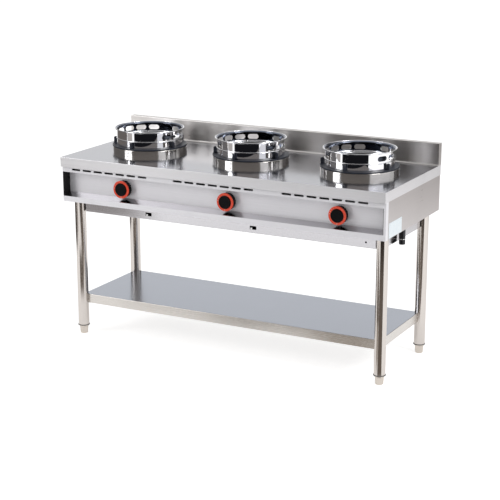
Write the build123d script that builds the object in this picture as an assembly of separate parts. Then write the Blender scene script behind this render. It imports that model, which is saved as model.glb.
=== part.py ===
from build123d import *
import os
from math import cos, radians, sin

# Wok range: a three-burner stainless top unit on an open tube stand with an undershelf.
# Millimetres. Origin on the floor under the middle of the range, +X to the right of a
# person standing in front of it, front towards -Y, +Z up.

# Overall size
WIDTH = 1500.0
DEPTH = 600.0
WORKTOP_HEIGHT = 805.0
SHEET = 1.5
LOOSE_GAP = 0.3  # between pieces of different bodies
TIGHT_GAP = 0.2  # between neighbouring pieces of one body
CUT = 1.0  # how far a cutter runs past the face it opens

# Worktop and backsplash
LIP_HEIGHT = 42.0
LIP_CORNER_RADIUS = 3.0
BACKSPLASH_HEIGHT = 94.0
BACKSPLASH_DEPTH = 30.0
BACKSPLASH_RADIUS = 2.0
COVE_RADIUS = 8.0
COVE_FOOT = 1.0

# Casing under the worktop
CASING_HEIGHT = 193.0
FASCIA_SETBACK = 12.0
FASCIA_RETURN = 40.0
FASCIA_END_DEPTH = 24.0
REAR_SETBACK = 2.7
PANEL_RETURN = 18.0
BOTTOM_RETURN = 45.0
PAN_EDGE_HEIGHT = 15.0
PAN_OPENING_RADIUS = 60.0

# Recess that holds the knobs
STRIP_HEIGHT = 23.0
RECESS_DEPTH = 50.0
LEDGE_ABOVE_BOTTOM = 22.0
LEDGE_RISE = 9.0
POST_WIDTH = 10.0

# Vent slots in the front strip and in the rear panel
VENT_COUNT = 7
VENT_PITCH = 55.0
VENT_OFFSET = -13.0
VENT_LENGTH = 43.0
VENT_HEIGHT = 8.0
VENT_ABOVE_RECESS = 13.0
REAR_VENT_MARGIN = 28.0
REAR_VENT_SPACING = 70.0

# Burners
BURNER_COUNT = 3
BURNER_FROM_END = 250.0
BURNER_FROM_FRONT = 325.0

# Collar round each burner hole
COLLAR_RADIUS = 161.0
COLLAR_HEIGHT = 21.5
COLLAR_OPENING_RADIUS = 128.0
NECK_HEIGHT = 16.0
COLLAR_SCREW_HEIGHT = 9.0
COLLAR_SCREW_ANGLES = (-95.0, 25.0, 145.0)

# Cast support ring with upright lugs
SUPPORT_RADIUS = 162.5
SUPPORT_BORE_RADIUS = 108.0
SUPPORT_THICKNESS = 6.0
SPIGOT_WALL = 7.0
SPIGOT_DEPTH = 8.0
SPIGOT_CLEARANCE = 0.5
LUG_COUNT = 5
LUG_START_ANGLE = -90.0
LUG_WIDTH = 8.0
LUG_DEPTH = 15.0
LUG_HEIGHT = 26.0
LUG_CLEARANCE = 0.6
LUG_ROUND = 6.5

# Loose wok ring
WOK_RING_RADIUS = 143.0
WOK_RING_WALL = 2.0
WOK_RIM_RADIUS = 152.0
WOK_RING_HEIGHT = 72.0
WOK_RIM_ROLL = 2.0
WOK_FLARE_HEIGHT = 14.0
WOK_LEDGE_HEIGHT = 28.0
WOK_LEDGE_OPENING = 112.0
WOK_LEDGE_DROP = 7.0
WOK_BEAD_RADIUS = 3.0
WOK_SLOT_LENGTH = 46.0
WOK_SLOT_HEIGHT = 21.0
WOK_SLOT_CENTRE = 46.0
WOK_SLOT_PITCH_ANGLE = 23.5
WOK_SLOT_REACH = 20.0
WOK_SLOTS_PER_SIDE = 5
WOK_SLOT_MIDDLE_ANGLE = 90.0

# Burner head, bracket, mixer and pilot
BRACKET_BELOW_WORKTOP = 67.0
BRACKET_THICKNESS = 3.0
BRACKET_HALF_WIDTH = 52.0
BRACKET_FRONT = 88.0
BRACKET_REAR = 45.0
BRACKET_FOOT = 15.0
BRACKET_HOLE_CLEARANCE = 1.0
HEAD_RADIUS = 66.0
HEAD_HEIGHT = 46.0
HEAD_FLANGE_RADIUS = 40.0
HEAD_FLANGE_HEIGHT = 6.0
HEAD_CUP_DEPTH = 12.0
HEAD_CONE_RADIUS = 24.0
HEAD_NECK_RADIUS = 20.0
HEAD_NECK_LENGTH = 14.0
PORT_RADIUS = 2.0
PORT_DEPTH = 6.0
PORT_ROW_RADII = (56.0, 38.0)
PORT_ROW_COUNTS = (24, 16)
MIXER_RADIUS = 17.0
MIXER_BORE = 14.0
MIXER_ABOVE_VALVE = 15.0
MIXER_LENGTH = 180.0
MIXER_MOUTH_RADIUS = 26.0
MIXER_MOUTH_LENGTH = 22.0
PILOT_OFFSET = (20.0, -75.0)
PILOT_RADIUS = 4.0
PILOT_HEIGHT = 60.0
PILOT_TIP_RADIUS = 6.5
PILOT_TIP_HEIGHT = 12.0
PILOT_TIP_CHAMFER = 3.0

# Gas train
VALVE_OFFSET = 35.0
VALVE_BELOW_MIDDLE = 2.0
VALVE_RADIUS = 14.0
VALVE_LENGTH = 44.0
VALVE_LEG_RADIUS = 9.0
VALVE_LEG_FROM_NOSE = 31.0
MANIFOLD_RADIUS = 13.2
MANIFOLD_WALL = 2.6
MANIFOLD_BEND = 30.0
MANIFOLD_BELOW_VALVE = 33.0
MANIFOLD_END_MARGIN = 110.0
INLET_FROM_RIGHT = 23.0
INLET_FROM_FRONT = 240.0
INLET_DROP = 67.0
INLET_RISE = 13.0
INLET_HOLE_CLEARANCE = 1.8
INLET_THREAD_RADIUS = 12.9
INLET_THREAD_LENGTH = 20.0
FEED_RADIUS = 4.0
FEED_BEND = 8.0
JET_RADIUS = 6.0
JET_LENGTH = 14.0
JET_BODY_LENGTH = 8.0
JET_NOZZLE_RADIUS = 3.6
JET_MOUTH_GAP = 3.0

# Knob and stem
KNOB_RADIUS = 36.0
KNOB_RING_RADIUS = 38.0
KNOB_RING_THICKNESS = 4.5
KNOB_CAP_RADIUS = 27.5
KNOB_CAP_HEIGHT = 8.5
KNOB_CAP_ROUND = 2.0
KNOB_BODY_LENGTH = 23.5
KNOB_PANEL_GAP = 4.5
KNOB_TRAVEL = 3.0
KNOB_NOTCH_WIDTH = 3.0
KNOB_NOTCH_DEPTH = 1.5
KNOB_NOTCH_LENGTH = 7.0
KNOB_BORE_SPARE = 1.0
STEM_RADIUS = 4.0
STEM_FIT = 0.08
STEM_IN_KNOB = 19.0
STEM_IN_VALVE = 18.0
STEM_PANEL_CLEARANCE = 1.5

# Stand
LEG_INSET_X = 41.0
LEG_INSET_Y = 81.0
LEG_RADIUS = 24.0
LEG_WALL = 1.5
FOOT_HEIGHT = 42.0
LEG_CAP_THICKNESS = 3.0
LEG_CAP_SIZE = 54.0
RAIL_HEIGHT = 56.0
RAIL_DEPTH = 25.0
RAIL_END_GAP = 5.0
BRACKET_TAB_CLEARANCE = 1.5
BRACKET_TAB_HEIGHT = 46.0
FIXING_OFFSET = 138.0
NOTCH_WIDTH = 30.0
NOTCH_TOP_MARGIN = 26.0
NOTCH_HEIGHT = 15.0
PEEP_HOLE_RADIUS = 4.0

# Undershelf
SHELF_HEIGHT = 181.0
SHELF_LIP = 40.0
SHELF_INSET_X = 44.0
SHELF_INSET_Y = 86.0
STIFFENER_HEIGHT = 25.0
STIFFENER_WIDTH = 50.0
STIFFENER_FLANGE = 15.0
STIFFENER_SPACING = 140.0
STIFFENER_END_MARGIN = 60.0

# Feet
INSERT_HEIGHT = 34.0
INSERT_FLANGE_RADIUS = 26.0
INSERT_FLANGE_HEIGHT = 4.0
STUD_RADIUS = 6.0
STUD_FIT = 0.08
STUD_LENGTH = 60.0
FOOT_TOP_RADIUS = 19.0
FOOT_BOTTOM_RADIUS = 16.5
FOOT_BAND_RADIUS = 20.5
FOOT_BAND_HEIGHT = 7.0
FOOT_EDGE_ROUND = 3.0

# Fasteners
SCREW_RADIUS = 2.5
SCREW_HEAD_RADIUS = 4.5
SCREW_HEAD_HEIGHT = 2.0
SCREW_HEAD_ROUND = 1.2
SCREW_LENGTH = 9.0
SCREW_CLEARANCE = 0.2
BOLT_RADIUS = 4.0
BOLT_HEX_FLATS = 13.0
BOLT_HEAD_HEIGHT = 5.5
BOLT_CLEARANCE = 0.5
REAR_SCREW_MARGIN = 9.0
REAR_SCREW_BASE = 28.0
REAR_SCREW_SPACING = 55.0
REAR_SCREW_COUNT = 3

# Blank rating plate
PLATE_LENGTH = 133.0
PLATE_HEIGHT = 61.0
PLATE_THICKNESS = 0.8
PLATE_FROM_FRONT = 6.5
PLATE_FROM_BOTTOM = 2.0

# Places worked out from the sizes above
LEFT, RIGHT = -WIDTH / 2, WIDTH / 2
FRONT, REAR = -DEPTH / 2, DEPTH / 2
WORKTOP_UNDERSIDE = WORKTOP_HEIGHT - SHEET
RECESS_TOP = WORKTOP_HEIGHT - LIP_HEIGHT - STRIP_HEIGHT
BODY_BOTTOM = WORKTOP_HEIGHT - CASING_HEIGHT
LEDGE_FRONT = BODY_BOTTOM + LEDGE_ABOVE_BOTTOM
VENT_CENTRE_HEIGHT = RECESS_TOP + VENT_ABOVE_RECESS
REAR_VENT_TOP = WORKTOP_HEIGHT - LIP_HEIGHT - REAR_VENT_MARGIN
REAR_VENT_HEIGHTS = (REAR_VENT_TOP, REAR_VENT_TOP - REAR_VENT_SPACING)
REAR_SCREW_HEIGHTS = [
    BODY_BOTTOM + REAR_SCREW_BASE + REAR_SCREW_SPACING * i for i in range(REAR_SCREW_COUNT)
]
SIDE_INSET = SHEET + TIGHT_GAP
FASCIA_Y = FRONT + FASCIA_SETBACK
RECESS_Y = FASCIA_Y + RECESS_DEPTH
PANEL_FRONT_Y = FASCIA_Y + FASCIA_END_DEPTH
RETURN_REAR_Y = REAR - REAR_SETBACK
REAR_PANEL_Y = RETURN_REAR_Y - SHEET
INNER_REAR_Y = REAR_PANEL_Y - SHEET - TIGHT_GAP
CASING_HALF_INSIDE = WIDTH / 2 - SIDE_INSET - SHEET - TIGHT_GAP
FASCIA_BOTTOM = BODY_BOTTOM - SHEET
BURNER_Y = FRONT + BURNER_FROM_FRONT
BURNER_PITCH = (WIDTH - 2 * BURNER_FROM_END) / (BURNER_COUNT - 1)
BURNER_XS = [BURNER_PITCH * (i - (BURNER_COUNT - 1) / 2) for i in range(BURNER_COUNT)]
COLLAR_TOP = WORKTOP_HEIGHT + COLLAR_HEIGHT
NECK_RADIUS = COLLAR_RADIUS - SHEET - TIGHT_GAP
SUPPORT_BOTTOM = COLLAR_TOP + LOOSE_GAP
WOK_RING_BOTTOM = SUPPORT_BOTTOM + SUPPORT_THICKNESS + LOOSE_GAP
LEG_X = WIDTH / 2 - LEG_INSET_X
LEG_Y = DEPTH / 2 - LEG_INSET_Y
LEG_TOP = BODY_BOTTOM - LEG_CAP_THICKNESS
RAIL_BOTTOM = BODY_BOTTOM - RAIL_HEIGHT
RAIL_HALF_X = LEG_X - LEG_RADIUS - RAIL_END_GAP
RAIL_HALF_Y = LEG_Y - LEG_RADIUS - RAIL_END_GAP
FIXING_Y = LEG_Y - RAIL_DEPTH / 2
FIXING_XS = [x + FIXING_OFFSET for x in BURNER_XS]
BRACKET_TAB_REACH = LEG_X - FIXING_XS[-1] - BOLT_HEX_FLATS / 2 - BRACKET_TAB_CLEARANCE
BRACKET_TOP = WORKTOP_HEIGHT - BRACKET_BELOW_WORKTOP
MIXER_MOUTH_Y = BURNER_Y - MIXER_LENGTH
VALVE_AXIS_HEIGHT = (RECESS_TOP + LEDGE_FRONT) / 2 - VALVE_BELOW_MIDDLE
MIXER_AXIS_HEIGHT = VALVE_AXIS_HEIGHT + MIXER_ABOVE_VALVE
VALVE_NOSE_Y = RECESS_Y + SHEET + TIGHT_GAP
MANIFOLD_Y = VALVE_NOSE_Y + VALVE_LEG_FROM_NOSE
MANIFOLD_AXIS_HEIGHT = VALVE_AXIS_HEIGHT - MANIFOLD_BELOW_VALVE
INLET_X = RIGHT - INLET_FROM_RIGHT
INLET_Y = FRONT + INLET_FROM_FRONT
INLET_BOTTOM = BODY_BOTTOM - INLET_DROP
INLET_JOINT = BODY_BOTTOM + INLET_RISE
KNOB_BACK_Y = RECESS_Y - KNOB_PANEL_GAP
CORNERS = {
    "front_left": (-LEG_X, -LEG_Y),
    "front_right": (LEG_X, -LEG_Y),
    "rear_left": (-LEG_X, LEG_Y),
    "rear_right": (LEG_X, LEG_Y),
}


def block(xs, ys, zs):
    """Box between two coordinates on each axis."""
    spans = (xs, ys, zs)
    centre = [(low + high) / 2 for low, high in spans]
    return Pos(*centre) * Box(*[high - low for low, high in spans])


def rod(radius, start, direction, length):
    """Cylinder of a radius that starts at a point and runs along a direction."""
    flat_end = (Align.CENTER, Align.CENTER, Align.MIN)
    return Plane(origin=start, z_dir=direction) * Cylinder(radius, length, align=flat_end)


def turned(*faces):
    """Solid of revolution about Z from faces drawn as (radius, height)."""
    profile = faces[0]
    for face in faces[1:]:
        profile += face
    return revolve(Plane.XZ * profile, Axis.Z)


def polygon(*points):
    """Flat face through the points."""
    return make_face(Polyline(*points, close=True))


def rectangle(lows, highs):
    """Flat rectangle between two corners."""
    return polygon(lows, (highs[0], lows[1]), highs, (lows[0], highs[1]))


def folded_face(points, thickness):
    """Section of a folded sheet whose outer face follows the points and whose metal
    lies to the left of the way they run."""
    vectors = [Vector(*p) for p in points]
    runs = [(b - a).normalized() for a, b in zip(vectors, vectors[1:])]
    normals = [Vector(-run.Y, run.X) for run in runs]
    inner = [vectors[0] + normals[0] * thickness]
    for corner, before, after in zip(vectors[1:], normals, normals[1:]):
        mitre = (before + after) * (thickness / (1 + before.dot(after)))
        inner.append(corner + mitre)
    inner.append(vectors[-1] + normals[-1] * thickness)
    outline = [(v.X, v.Y) for v in vectors + inner[::-1]]
    return polygon(*outline)


def along_x(face, start, end):
    """Face drawn as (y, z), extruded between two x coordinates."""
    return extrude(Plane.YZ.offset(start) * face, amount=end - start)


def along_y(face, start, end):
    """Face drawn as (x, z), extruded between two y coordinates."""
    plane = Plane(origin=(0, start, 0), x_dir=(1, 0, 0), z_dir=(0, -1, 0))
    return extrude(plane * face, amount=start - end)


def slot_cutter(length, height, x, y, z):
    """Cutter for a round-ended slot that goes through a sheet facing along Y."""
    plane = Plane(origin=(x, y - SHEET, z), x_dir=(1, 0, 0), z_dir=(0, 1, 0))
    return extrude(plane * SlotOverall(length, height), amount=3 * SHEET)


def vent_cutters(y, z, offset=0.0):
    """One row of vent slots for each burner, moved sideways by an offset."""
    first = offset - VENT_PITCH * (VENT_COUNT - 1) / 2
    places = [x + first + VENT_PITCH * i for x in BURNER_XS for i in range(VENT_COUNT)]
    return [slot_cutter(VENT_LENGTH, VENT_HEIGHT, x, y, z) for x in places]


def tube_along(points, bend, radius, bore=0.0):
    """Round tube or rod along straight runs joined by tangent bends."""
    path = FilletPolyline(*points, radius=bend)
    start = Plane(origin=path @ 0, z_dir=path % 0)
    solid = sweep(start * Circle(radius), path=path)
    if bore:
        solid -= sweep(start * Circle(bore), path=path)
    return solid


def make_worktop():
    """Top sheet with turned-down lips and a drawn neck round each burner hole."""
    top = block((LEFT, RIGHT), (FRONT, REAR), (WORKTOP_HEIGHT - LIP_HEIGHT, WORKTOP_HEIGHT))
    top = fillet(top.edges().filter_by(Axis.Z), LIP_CORNER_RADIUS)
    hollow = block(
        (LEFT + SHEET, RIGHT - SHEET),
        (FRONT + SHEET, REAR - SHEET),
        (WORKTOP_HEIGHT - LIP_HEIGHT - CUT, WORKTOP_UNDERSIDE),
    )
    top -= fillet(hollow.edges().filter_by(Axis.Z), LIP_CORNER_RADIUS - SHEET)
    inner = NECK_RADIUS - SHEET
    neck = rectangle((inner, WORKTOP_UNDERSIDE), (NECK_RADIUS, WORKTOP_HEIGHT + NECK_HEIGHT))
    for x in BURNER_XS:
        place = Pos(x, BURNER_Y, 0)
        top -= place * rod(inner, (0, 0, WORKTOP_UNDERSIDE - CUT), (0, 0, 1), SHEET + 2 * CUT)
        top += place * turned(neck)
        top -= [place * hole for hole in collar_screw_holes()]
    return top


def make_backsplash():
    """Closed box channel that stands on the rear of the worktop, with a coved foot."""
    face_y = REAR - BACKSPLASH_DEPTH
    top_z = WORKTOP_HEIGHT + BACKSPLASH_HEIGHT
    cove_z = WORKTOP_HEIGHT + COVE_FOOT
    cove_arc = CenterArc((face_y - COVE_RADIUS, cove_z + COVE_RADIUS), COVE_RADIUS, -90, 90)
    straight = Polyline(
        (face_y, cove_z + COVE_RADIUS),
        (face_y, top_z),
        (REAR, top_z),
        (REAR, WORKTOP_HEIGHT),
        (face_y - COVE_RADIUS, WORKTOP_HEIGHT),
        (face_y - COVE_RADIUS, cove_z),
    )
    outer = along_x(make_face([cove_arc, straight]), LEFT, RIGHT)
    crest = outer.edges().filter_by(Axis.X).group_by(Axis.Z)[-1]
    outer = fillet(crest, BACKSPLASH_RADIUS)
    return outer - block(
        (LEFT + SHEET, RIGHT - SHEET),
        (face_y + SHEET, REAR - SHEET),
        (WORKTOP_HEIGHT - CUT, top_z - SHEET),
    )


def recess_cutter():
    """Cutter for the folds behind the fascia's right-hand end, where the recess passes."""
    inner = WIDTH / 2 - SIDE_INSET - SHEET
    ys = (FASCIA_Y + SHEET, PANEL_FRONT_Y + SHEET)
    return block((inner - PANEL_RETURN, inner), ys, (LEDGE_FRONT - 2 * SHEET, RECESS_TOP + 2 * SHEET))


def make_side_panel(side):
    """Side panel with front, rear and bottom returns, the front one left out along the
    recess."""
    outer, inner = WIDTH / 2 - SIDE_INSET, WIDTH / 2 - SIDE_INSET - SHEET
    heights = (BODY_BOTTOM, WORKTOP_UNDERSIDE)
    returned = (outer - PANEL_RETURN, outer)
    panel = block((inner, outer), (PANEL_FRONT_Y, RETURN_REAR_Y), heights)
    panel += block(returned, (PANEL_FRONT_Y, PANEL_FRONT_Y + SHEET), heights)
    panel += block(returned, (RETURN_REAR_Y - SHEET, RETURN_REAR_Y), heights)
    bottom = (BODY_BOTTOM, BODY_BOTTOM + SHEET)
    panel += block((outer - BOTTOM_RETURN, outer), (PANEL_FRONT_Y, INNER_REAR_Y), bottom)
    panel -= recess_cutter()
    if side < 0:
        panel = mirror(panel, Plane.YZ)
    else:
        hole = MANIFOLD_RADIUS + INLET_HOLE_CLEARANCE
        panel -= rod(hole, (INLET_X, INLET_Y, BODY_BOTTOM - CUT), (0, 0, 1), SHEET + 2 * CUT)
    for z in REAR_SCREW_HEIGHTS:
        panel -= rear_screw_hole(side, z)
    return panel


def rear_screw_x(side):
    """Sideways place of the rear panel's screws on one side."""
    return side * (WIDTH / 2 - SIDE_INSET - REAR_SCREW_MARGIN)


def rear_screw_hole(side, z):
    """Clearance hole for a screw through the side panel's return and the rear panel."""
    start = (rear_screw_x(side), RETURN_REAR_Y + CUT, z)
    return rod(SCREW_RADIUS + SCREW_CLEARANCE, start, (0, -1, 0), 2 * (SHEET + CUT))


def make_rear_panel():
    """Rear sheet, screwed to the side panels' returns, with two rows of vents."""
    heights = (BODY_BOTTOM, WORKTOP_UNDERSIDE - TIGHT_GAP)
    sheet_ys = (REAR_PANEL_Y - SHEET, REAR_PANEL_Y)
    panel = block((-CASING_HALF_INSIDE, CASING_HALF_INSIDE), sheet_ys, heights)
    for z in REAR_VENT_HEIGHTS:
        panel -= vent_cutters(REAR_PANEL_Y - SHEET, z)
    for side in (-1, 1):
        for z in REAR_SCREW_HEIGHTS:
            panel -= rear_screw_hole(side, z)
    return panel


def make_fascia_end(side):
    """Return at one end of the fascia, with flanges that lie on the side panel's."""
    half = WIDTH / 2 - SIDE_INSET
    rear_y = PANEL_FRONT_Y - TIGHT_GAP
    heights = (FASCIA_BOTTOM, WORKTOP_UNDERSIDE)
    end = block((half - PANEL_RETURN, half), (rear_y - SHEET, rear_y), heights) - recess_cutter()
    end += block((half - SHEET, half), (FASCIA_Y, rear_y), heights)
    return end if side > 0 else mirror(end, Plane.YZ)


def make_control_panel():
    """Fascia folded from one sheet: vented strip, recess for the knobs, sloping ledge,
    bottom strip, the post at the right-hand end and the returns at both ends."""
    strip = [(FASCIA_Y, WORKTOP_UNDERSIDE), (FASCIA_Y, RECESS_TOP)]
    recess = [
        (RECESS_Y, RECESS_TOP),
        (RECESS_Y, LEDGE_FRONT + LEDGE_RISE),
        (FASCIA_Y, LEDGE_FRONT),
    ]
    foot = [(FASCIA_Y, FASCIA_BOTTOM), (FASCIA_Y + FASCIA_RETURN, FASCIA_BOTTOM)]
    half = WIDTH / 2 - SIDE_INSET
    post_x = half - POST_WIDTH
    left_end = (-half, -CASING_HALF_INSIDE)
    panel = along_x(folded_face(strip + recess + foot, SHEET), -CASING_HALF_INSIDE, post_x)
    panel += along_x(folded_face(strip[:1] + foot, SHEET), post_x, half)
    panel += along_x(folded_face(recess[-1:] + foot, SHEET), *left_end)
    panel += block(left_end, (FASCIA_Y, FASCIA_Y + SHEET), (RECESS_TOP, WORKTOP_UNDERSIDE))
    panel += [make_fascia_end(side) for side in (-1, 1)]
    panel -= vent_cutters(FASCIA_Y, VENT_CENTRE_HEIGHT, VENT_OFFSET)
    for x in BURNER_XS:
        start = (x + VALVE_OFFSET, RECESS_Y - CUT, VALVE_AXIS_HEIGHT)
        panel -= rod(STEM_RADIUS + STEM_PANEL_CLEARANCE, start, (0, 1, 0), SHEET + 2 * CUT)
    return panel


def make_recess_end_caps():
    """Dark plates that close the two ends of the recess."""
    gap = TIGHT_GAP
    outline = polygon(
        (FASCIA_Y, LEDGE_FRONT + gap),
        (RECESS_Y - gap, LEDGE_FRONT + LEDGE_RISE + gap),
        (RECESS_Y - gap, RECESS_TOP - gap),
        (FASCIA_Y, RECESS_TOP - gap),
    )
    left = along_x(outline, -CASING_HALF_INSIDE, -CASING_HALF_INSIDE + SHEET)
    right_x = RIGHT - SIDE_INSET - POST_WIDTH - gap
    right = along_x(outline, right_x - SHEET, right_x)
    return group([left, right])


def make_base_pan():
    """Bottom tray with turned-up edges and an air opening under each burner."""
    half = WIDTH / 2 - SIDE_INSET - BOTTOM_RETURN - TIGHT_GAP
    ys = (FASCIA_Y + FASCIA_RETURN / 2, INNER_REAR_Y)
    pan = block((-half, half), ys, (BODY_BOTTOM, BODY_BOTTOM + PAN_EDGE_HEIGHT))
    pan -= block(
        (-half + SHEET, half - SHEET),
        (ys[0] + SHEET, ys[1] - SHEET),
        (BODY_BOTTOM + SHEET, BODY_BOTTOM + PAN_EDGE_HEIGHT + CUT),
    )
    for x in BURNER_XS:
        start = (x, BURNER_Y, BODY_BOTTOM - CUT)
        pan -= rod(PAN_OPENING_RADIUS, start, (0, 0, 1), SHEET + 2 * CUT)
    return pan - fixing_holes()


def fixing_holes():
    """Clearance holes for the bolts that hold the casing to the stand."""
    radius = BOLT_RADIUS + BOLT_CLEARANCE
    start_z = BODY_BOTTOM - SHEET - CUT
    return [
        rod(radius, (x, y, start_z), (0, 0, 1), 2 * (SHEET + CUT))
        for x in FIXING_XS
        for y in (-FIXING_Y, FIXING_Y)
    ]


def make_rating_plate():
    """Blank plate on the right-hand side panel."""
    x = RIGHT - SIDE_INSET
    y = PANEL_FRONT_Y + PLATE_FROM_FRONT
    z = BODY_BOTTOM + PLATE_FROM_BOTTOM
    return block((x, x + PLATE_THICKNESS), (y, y + PLATE_LENGTH), (z, z + PLATE_HEIGHT))


def collar_screw_directions():
    """Outward direction of each collar screw, as x and y."""
    return [(cos(radians(a)), sin(radians(a))) for a in COLLAR_SCREW_ANGLES]


def collar_screw_holes():
    """Clearance holes through the collar and the worktop's neck."""
    radius = SCREW_RADIUS + SCREW_CLEARANCE
    z = WORKTOP_HEIGHT + COLLAR_SCREW_HEIGHT
    start_r = COLLAR_RADIUS + CUT
    return [
        rod(radius, (start_r * x, start_r * y, z), (-x, -y, 0), SCREW_LENGTH + 2 * CUT)
        for x, y in collar_screw_directions()
    ]


def make_burner_collar():
    """Stainless collar round the burner hole, with its top turned in as a seat."""
    wall = rectangle((COLLAR_RADIUS - SHEET, WORKTOP_HEIGHT), (COLLAR_RADIUS, COLLAR_TOP))
    seat = rectangle((COLLAR_OPENING_RADIUS, COLLAR_TOP - SHEET), (COLLAR_RADIUS, COLLAR_TOP))
    return turned(wall, seat) - collar_screw_holes()


def make_pan_support():
    """Cast ring that drops into the collar, with lugs that centre the wok ring."""
    top = SUPPORT_BOTTOM + SUPPORT_THICKNESS
    plate = rectangle((SUPPORT_BORE_RADIUS, SUPPORT_BOTTOM), (SUPPORT_RADIUS, top))
    spigot_radius = COLLAR_OPENING_RADIUS - SPIGOT_CLEARANCE
    spigot = rectangle(
        (spigot_radius - SPIGOT_WALL, SUPPORT_BOTTOM - SPIGOT_DEPTH), (spigot_radius, top)
    )
    ring = turned(plate, spigot)
    inner = WOK_RING_RADIUS - WOK_RING_WALL / 2 + WOK_BEAD_RADIUS + LUG_CLEARANCE
    lug = block(
        (inner, inner + LUG_DEPTH),
        (-LUG_WIDTH / 2, LUG_WIDTH / 2),
        (SUPPORT_BOTTOM, top + LUG_HEIGHT),
    )
    crest = lug.edges().filter_by(Axis.Y).group_by(Axis.Z)[-1]
    lug = fillet(crest, min(LUG_ROUND, LUG_DEPTH / 2 - TIGHT_GAP))
    pitch = 360 / LUG_COUNT
    return ring + [Rot(0, 0, LUG_START_ANGLE + pitch * i) * lug for i in range(LUG_COUNT)]


def make_wok_ring():
    """Loose ring that holds the wok: plain lower band, bead, inner ledge, an upper band
    with slots at its rear and sides, and a flared, rolled rim."""
    outer, inner = WOK_RING_RADIUS, WOK_RING_RADIUS - WOK_RING_WALL
    flare_base = WOK_RING_HEIGHT - WOK_FLARE_HEIGHT
    rim_z = WOK_RING_HEIGHT - WOK_RIM_ROLL
    rim_r = WOK_RIM_RADIUS - WOK_RIM_ROLL
    band = rectangle((inner, 0), (outer, flare_base))
    half_wall = WOK_RING_WALL / 2
    flare = polygon(
        (inner, flare_base),
        (outer, flare_base),
        (rim_r + half_wall, rim_z),
        (rim_r - half_wall, rim_z + half_wall),
    )
    roll = Pos(rim_r, rim_z) * Circle(WOK_RIM_ROLL)
    bead = Pos(outer - half_wall, WOK_LEDGE_HEIGHT) * Circle(WOK_BEAD_RADIUS)
    ledge = rectangle(
        (WOK_LEDGE_OPENING, WOK_LEDGE_HEIGHT - WOK_RING_WALL),
        (outer - half_wall, WOK_LEDGE_HEIGHT),
    )
    drop = rectangle(
        (WOK_LEDGE_OPENING, WOK_LEDGE_HEIGHT - WOK_LEDGE_DROP),
        (WOK_LEDGE_OPENING + WOK_RING_WALL, WOK_LEDGE_HEIGHT),
    )
    ring = turned(band, flare, roll, bead, ledge, drop)
    turns = [WOK_SLOT_PITCH_ANGLE * (i + 1) for i in range(WOK_SLOTS_PER_SIDE)]
    angles = [WOK_SLOT_MIDDLE_ANGLE + side * turn for side in (-1, 1) for turn in turns]
    flat_slot = Plane(origin=(0, 0, WOK_SLOT_CENTRE), x_dir=(0, 1, 0), z_dir=(1, 0, 0))
    slot = flat_slot.offset(outer - WOK_SLOT_REACH / 2) * SlotOverall(
        WOK_SLOT_LENGTH, WOK_SLOT_HEIGHT
    )
    cutter = extrude(slot, amount=WOK_SLOT_REACH)
    ring -= [Rot(0, 0, angle) * cutter for angle in angles]
    return Pos(0, 0, WOK_RING_BOTTOM) * ring


def make_burner_bracket(x):
    """Bent bracket that stands on the base pan and carries one burner head."""
    ys = (BURNER_Y - BRACKET_FRONT, BURNER_Y + BRACKET_REAR)
    half = BRACKET_HALF_WIDTH
    floor = BODY_BOTTOM + SHEET
    outline = [
        (-half - BRACKET_FOOT, floor + BRACKET_THICKNESS),
        (-half, floor + BRACKET_THICKNESS),
        (-half, BRACKET_TOP),
        (half, BRACKET_TOP),
        (half, floor + BRACKET_THICKNESS),
        (half + BRACKET_FOOT, floor + BRACKET_THICKNESS),
    ]
    shape = along_y(folded_face(outline[::-1], BRACKET_THICKNESS), *ys)
    hole_start = (0, BURNER_Y, BRACKET_TOP + CUT)
    hole_radius = HEAD_NECK_RADIUS + BRACKET_HOLE_CLEARANCE
    hole = rod(hole_radius, hole_start, (0, 0, -1), BRACKET_THICKNESS + 2 * CUT)
    return Pos(x, 0, 0) * (shape - hole)


def make_burner_head():
    """Cast burner head with a central cone and two rings of flame ports."""
    base = BRACKET_TOP
    top = base + HEAD_HEIGHT
    floor = top - HEAD_CUP_DEPTH
    outline = polygon(
        (0, base - HEAD_NECK_LENGTH),
        (HEAD_NECK_RADIUS, base - HEAD_NECK_LENGTH),
        (HEAD_NECK_RADIUS, base),
        (HEAD_FLANGE_RADIUS, base),
        (HEAD_FLANGE_RADIUS, base + HEAD_FLANGE_HEIGHT),
        (HEAD_RADIUS, floor - HEAD_FLANGE_HEIGHT),
        (HEAD_RADIUS, top - HEAD_FLANGE_HEIGHT),
        (HEAD_RADIUS - HEAD_FLANGE_HEIGHT, top),
        (HEAD_CONE_RADIUS, floor),
        (0, floor + HEAD_FLANGE_HEIGHT),
    )
    bore = rectangle((0, base - HEAD_NECK_LENGTH - CUT), (MIXER_BORE, floor - HEAD_FLANGE_HEIGHT))
    head = turned(outline) - turned(bore)
    for radius, count in zip(PORT_ROW_RADII, PORT_ROW_COUNTS):
        port = rod(PORT_RADIUS, (radius, 0, top), (0, 0, -1), HEAD_CUP_DEPTH + PORT_DEPTH)
        head -= [Rot(0, 0, 360 * i / count) * port for i in range(count)]
    return head


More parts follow.
